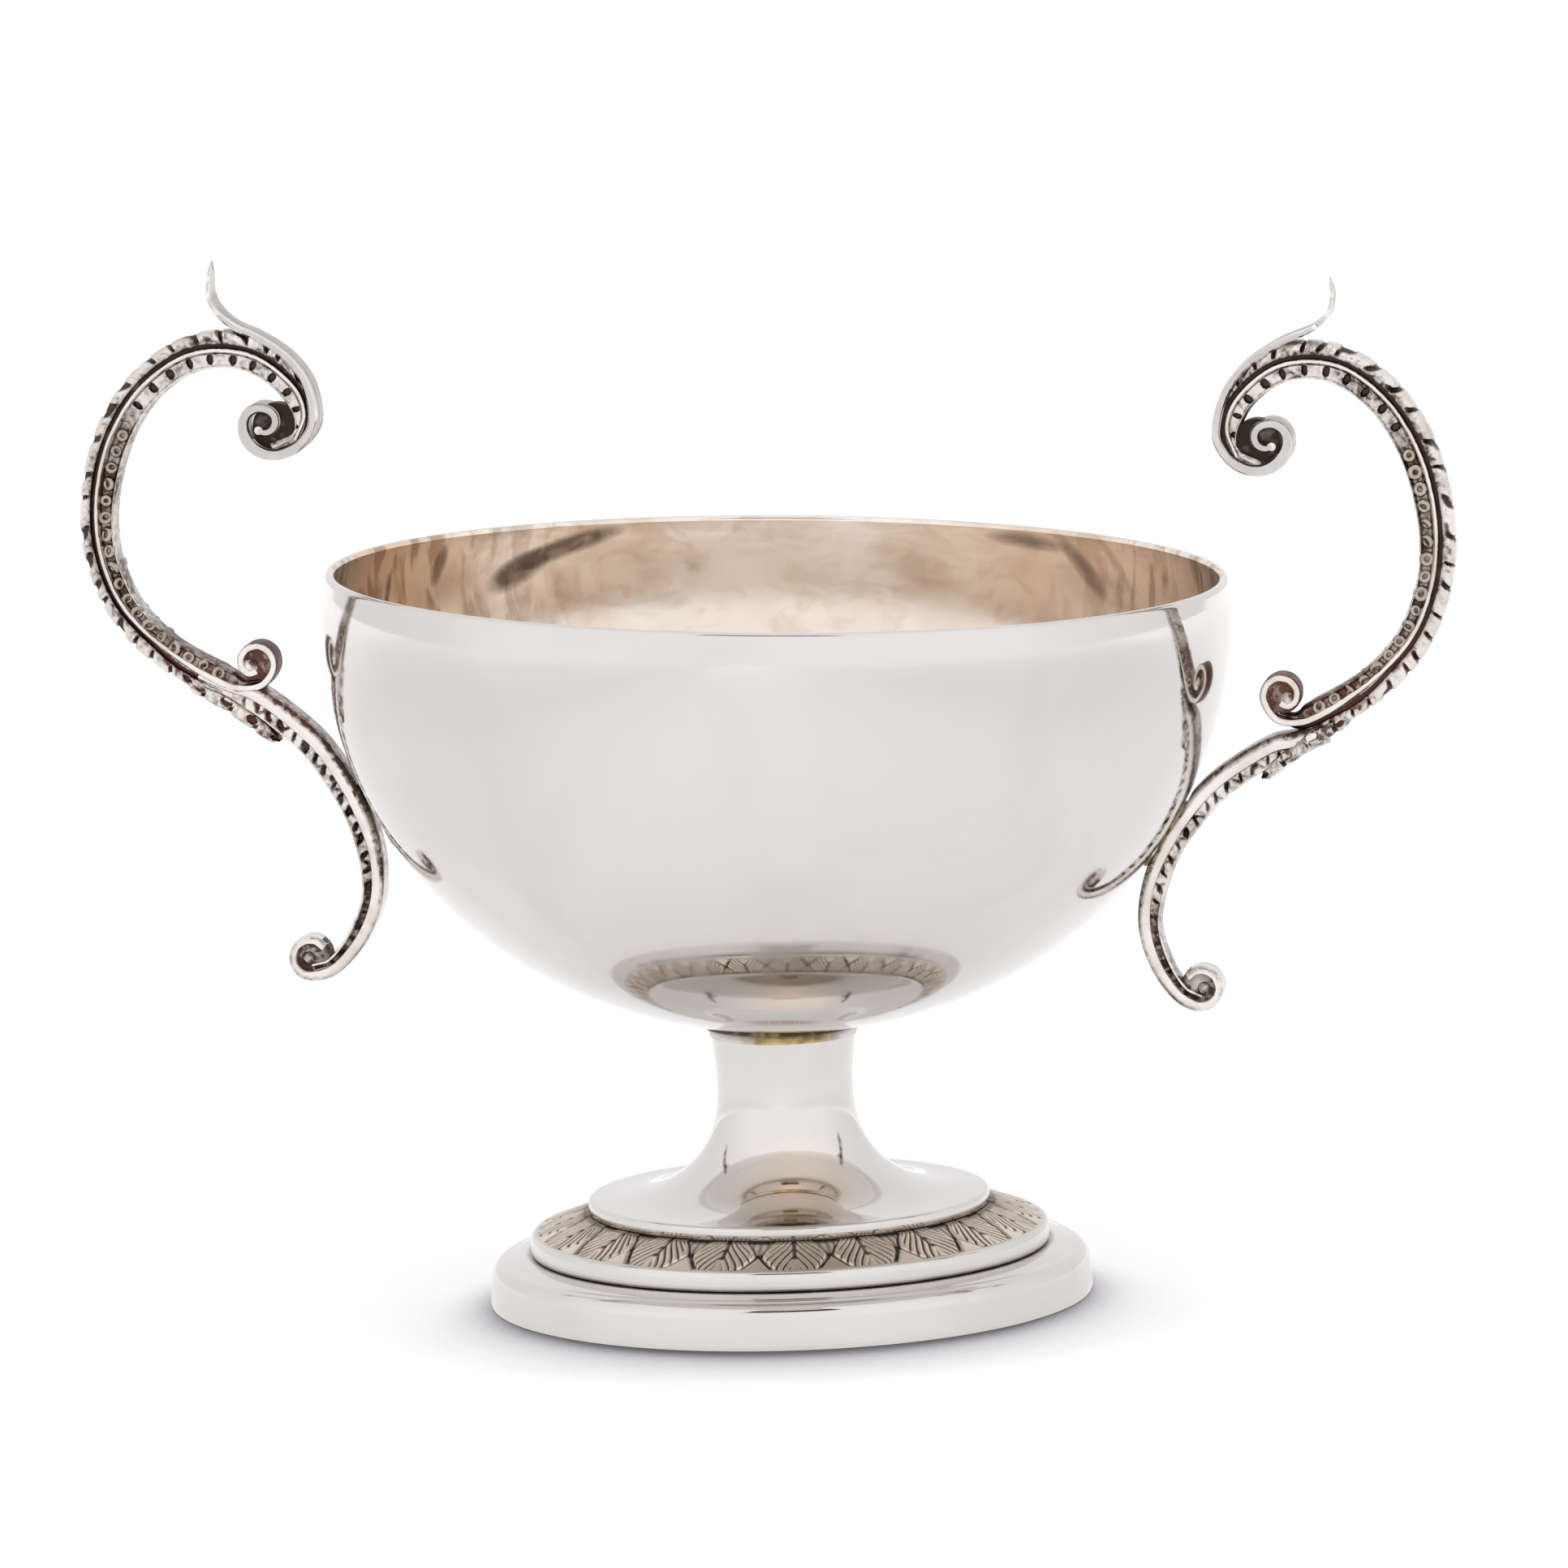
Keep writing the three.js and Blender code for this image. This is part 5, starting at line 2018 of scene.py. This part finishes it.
@dataclass
class Studio:
    """A white floor with a painted shadow round the foot, soft light all round, dark slats for the silver
    to reflect, and the camera.
    """

    azimuth: float = 8
    elevation: float = 8.298
    distance: float = 1699.18
    aim_up: float = 73.98
    aim_right: float = 1.25
    roll: float = -1.89
    lens: float = 273.27
    sensor: float = 36
    clip: tuple[float, float] = (0.05, 50)
    floor_size: float = 8
    reflected_rise: float = 0.05
    paper: Colour = (0.6, 0.6, 0.605)
    paper_cloud: Colour = (0.62, 0.62, 0.625)
    painted_shadow_colour: Colour = (0.05, 0.035, 0.065)
    glow: float = 0.42
    dimmed_glow: float = 0.31
    far_glow: float = 0.12
    far_glow_start: float = 450
    far_glow_end: float = 1300
    surround: Colour = (0.99, 0.985, 1.0)
    surround_strength: float = 1.14
    back_strength: float = 0.95
    painted_shadow_reach: float = 30
    painted_shadow_way: Colour = (-0.1, 0.9, 0.4)
    back_edge: float = -0.7
    front_edge: float = 0.45
    opening_half_turn: float = 23
    slats: tuple[tuple[float, float], ...] = ((48, 62), (67, 70))
    slat_reach: float = 2.4
    slat_columns: int = 12
    lamp_place: Colour = (0, 0.1, 1.5)
    lamp_size: float = 1.6
    lamp_power: float = 1.6

    def build_camera(self) -> None:
        """Sets the camera where the cup was seen from."""
        turn, rise, roll = (math.radians(angle) for angle in (self.azimuth, self.elevation, self.roll))
        back = Vector((math.sin(turn) * math.cos(rise), -math.cos(turn) * math.cos(rise), math.sin(rise)))
        right = Vector((math.cos(turn), math.sin(turn), 0))
        up = back.cross(right)
        side = right * math.cos(roll) + up * math.sin(roll)
        top = up * math.cos(roll) - right * math.sin(roll)
        camera = linked("camera", bpy.data.cameras.new("camera"))
        camera.data.lens = self.lens
        camera.data.sensor_width = self.sensor
        camera.data.clip_start, camera.data.clip_end = self.clip
        aim = Vector((0, 0, self.aim_up)) + right * self.aim_right
        turned = Matrix((side, top, back)).transposed().to_4x4()
        camera.matrix_world = Matrix.Translation((aim + back * self.distance) * MM) @ turned
        bpy.context.scene.camera = camera

    def build_floor(self, reflected: bool) -> None:
        """Lays a white floor that is lit a little from below, as a light table is.

        Args:
            reflected: Whether it is the plain floor that only the silver reflects, or the one that is
            seen, which has a painted soft shadow round the foot.
        """
        half = self.floor_size / 2
        level = self.reflected_rise * MM if reflected else 0
        name = "reflected_floor" if reflected else "floor"
        corners = [(half * x, half * y, level) for x, y in ((-1, -1), (1, -1), (1, 1), (-1, 1))]
        mesh = bpy.data.meshes.new(name)
        mesh.from_pydata(corners, [], [(0, 1, 2, 3)])
        floor = linked(name, mesh)
        bench = Bench(name.replace("_", " "))
        paper = bench.blend(bench.noise(3, 3), self.paper, self.paper_cloud)
        aside = bench.math("ABSOLUTE", bench.along((1, 0, 0)))
        behind = bench.spread(bench.along((0, 1, 0)), 0.2, 0.5, 1, 0)
        dimmed = bench.times(bench.spread(aside, 0.06, 0.3), behind)
        far = bench.near((0, 0, 0), self.far_glow_start, self.far_glow_end)
        glow = bench.spread(dimmed, 0, 1, self.glow, self.dimmed_glow)
        glow = bench.math("ADD", glow, bench.spread(far, 0, 1, self.far_glow, 0))
        if not reflected:
            # Painted shadow: the seen floor darkens round the foot, in colour and in glow, by how closed in
            # it is.
            shade = bench.spread(bench.openness(self.painted_shadow_reach, self.painted_shadow_way), 0.5, 0.94, 0.08, 1)
            paper = bench.blend(shade, self.painted_shadow_colour, paper)
            glow = bench.times(glow, shade)
        bench.set("Base Color", paper)
        bench.set("Roughness", 0.9)
        bench.set("Emission Color", (1.0, 0.995, 1.0))
        bench.set("Emission Strength", glow)
        mesh.materials.append(bench.material)
        floor.visible_glossy = reflected
        floor.visible_camera = floor.visible_diffuse = floor.visible_shadow = not reflected
        floor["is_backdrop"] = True

    def build_light(self) -> None:
        """Lights the cup from all round, a little more from above."""
        world = bpy.data.worlds.new("studio")
        world.use_nodes = True
        sums = Sums(world.node_tree)
        background = world.node_tree.nodes["Background"]
        background.inputs["Color"].default_value = (*self.surround, 1)
        sky = world.node_tree.nodes.new("ShaderNodeTexCoord").outputs["Generated"]
        turn = math.radians(self.azimuth)
        front = sums.vector("DOT_PRODUCT", sky, (math.sin(turn), -math.cos(turn), 0))["Value"]
        edges, strengths = (self.back_edge, self.front_edge), (self.back_strength, self.surround_strength)
        strength = sums.spread(front, *edges, *strengths)
        sums.feed(background.inputs["Strength"], strength)
        bpy.context.scene.world = world
        light = bpy.data.lights.new("top_light", "AREA")
        light.size, light.energy = self.lamp_size, self.lamp_power
        lamp = linked("top_light", light)
        lamp.location = self.lamp_place
        down = Vector() - Vector(self.lamp_place)
        lamp.rotation_euler = down.to_track_quat("-Z", "Y").to_euler()
        lamp.visible_glossy = False
        bpy.context.scene.view_settings.view_transform = "Standard"

    def build_slats(self) -> None:
        """Hangs dark slats round behind the camera, which only reflections see."""
        points, faces = [], []
        reach, columns = self.slat_reach, self.slat_columns
        for low, high in self.slats:
            first = len(points)
            for column in range(columns + 1):
                turn = math.radians(self.azimuth + self.opening_half_turn * (2 * column / columns - 1))
                for rise in (math.radians(low), math.radians(high)):
                    flat = reach * math.cos(rise)
                    points.append((flat * math.sin(turn), -flat * math.cos(turn), reach * math.sin(rise)))
            for a in range(first, first + 2 * columns, 2):
                faces.append((a, a + 2, a + 3, a + 1))
        mesh = bpy.data.meshes.new("dark_slats")
        mesh.from_pydata(points, [], faces)
        slats = linked("dark_slats", mesh)
        bench = Bench("dark studio")
        bench.set("Base Color", (0.03, 0.03, 0.035))
        bench.set("Roughness", bench.spread(bench.noise(200), 0.3, 0.7, 0.8, 1))
        mesh.materials.append(bench.material)
        slats.visible_camera = slats.visible_diffuse = slats.visible_shadow = False
        slats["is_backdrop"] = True


def main() -> None:
    """Builds the studio and the cup, piece by piece."""
    logging.basicConfig(level=logging.INFO, format="%(name)s: %(message)s")
    studio = Studio()
    studio.build_camera()
    studio.build_floor(reflected=False)
    studio.build_floor(reflected=True)
    studio.build_light()
    studio.build_slats()
    shop = Workshop()
    foot = Foot(shop)
    foot.build_ring()
    foot.build_wire()
    foot.build_frieze()
    bowl = Bowl(shop)
    stem = Stem(shop, bowl)
    stem.build()
    stem.build_solder()
    bowl.build()
    left = Handle(
        shop,
        Side.LEFT,
        bowl,
        upper=Fit(out=1.1, up=0.8, tilt=-1, tall=0.973),
        lower=Fit(out=1.9, up=2.1, tilt=1.5, wide=1.044, tall=1.032),
    )
    right = Handle(
        shop,
        Side.RIGHT,
        bowl,
        upper=Fit(out=-1.1, up=-0.8, tilt=1, wide=0.975, tall=1.027),
        lower=Fit(out=-1.8, up=-1.9, tilt=-2.5, wide=0.956, tall=0.968),
        notch_width=0.45,
        leaf_gap=0.04,
    )
    for handle in (left, right):
        handle.build_large_scroll()
        handle.build_ribbon()
        handle.build_lower_scroll()
        handle.build_junction_leaf()
        handle.dress_pad()
    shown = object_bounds()
    boxes = {"solids": SOLID_BOX, "shown": shown}
    sizes = {label: [list(corner) for corner in box] for label, box in boxes.items()}
    LOG.info("solids %s", sizes["solids"])
    LOG.info("shown %s", sizes["shown"])


if __name__ == "__main__":
    main()
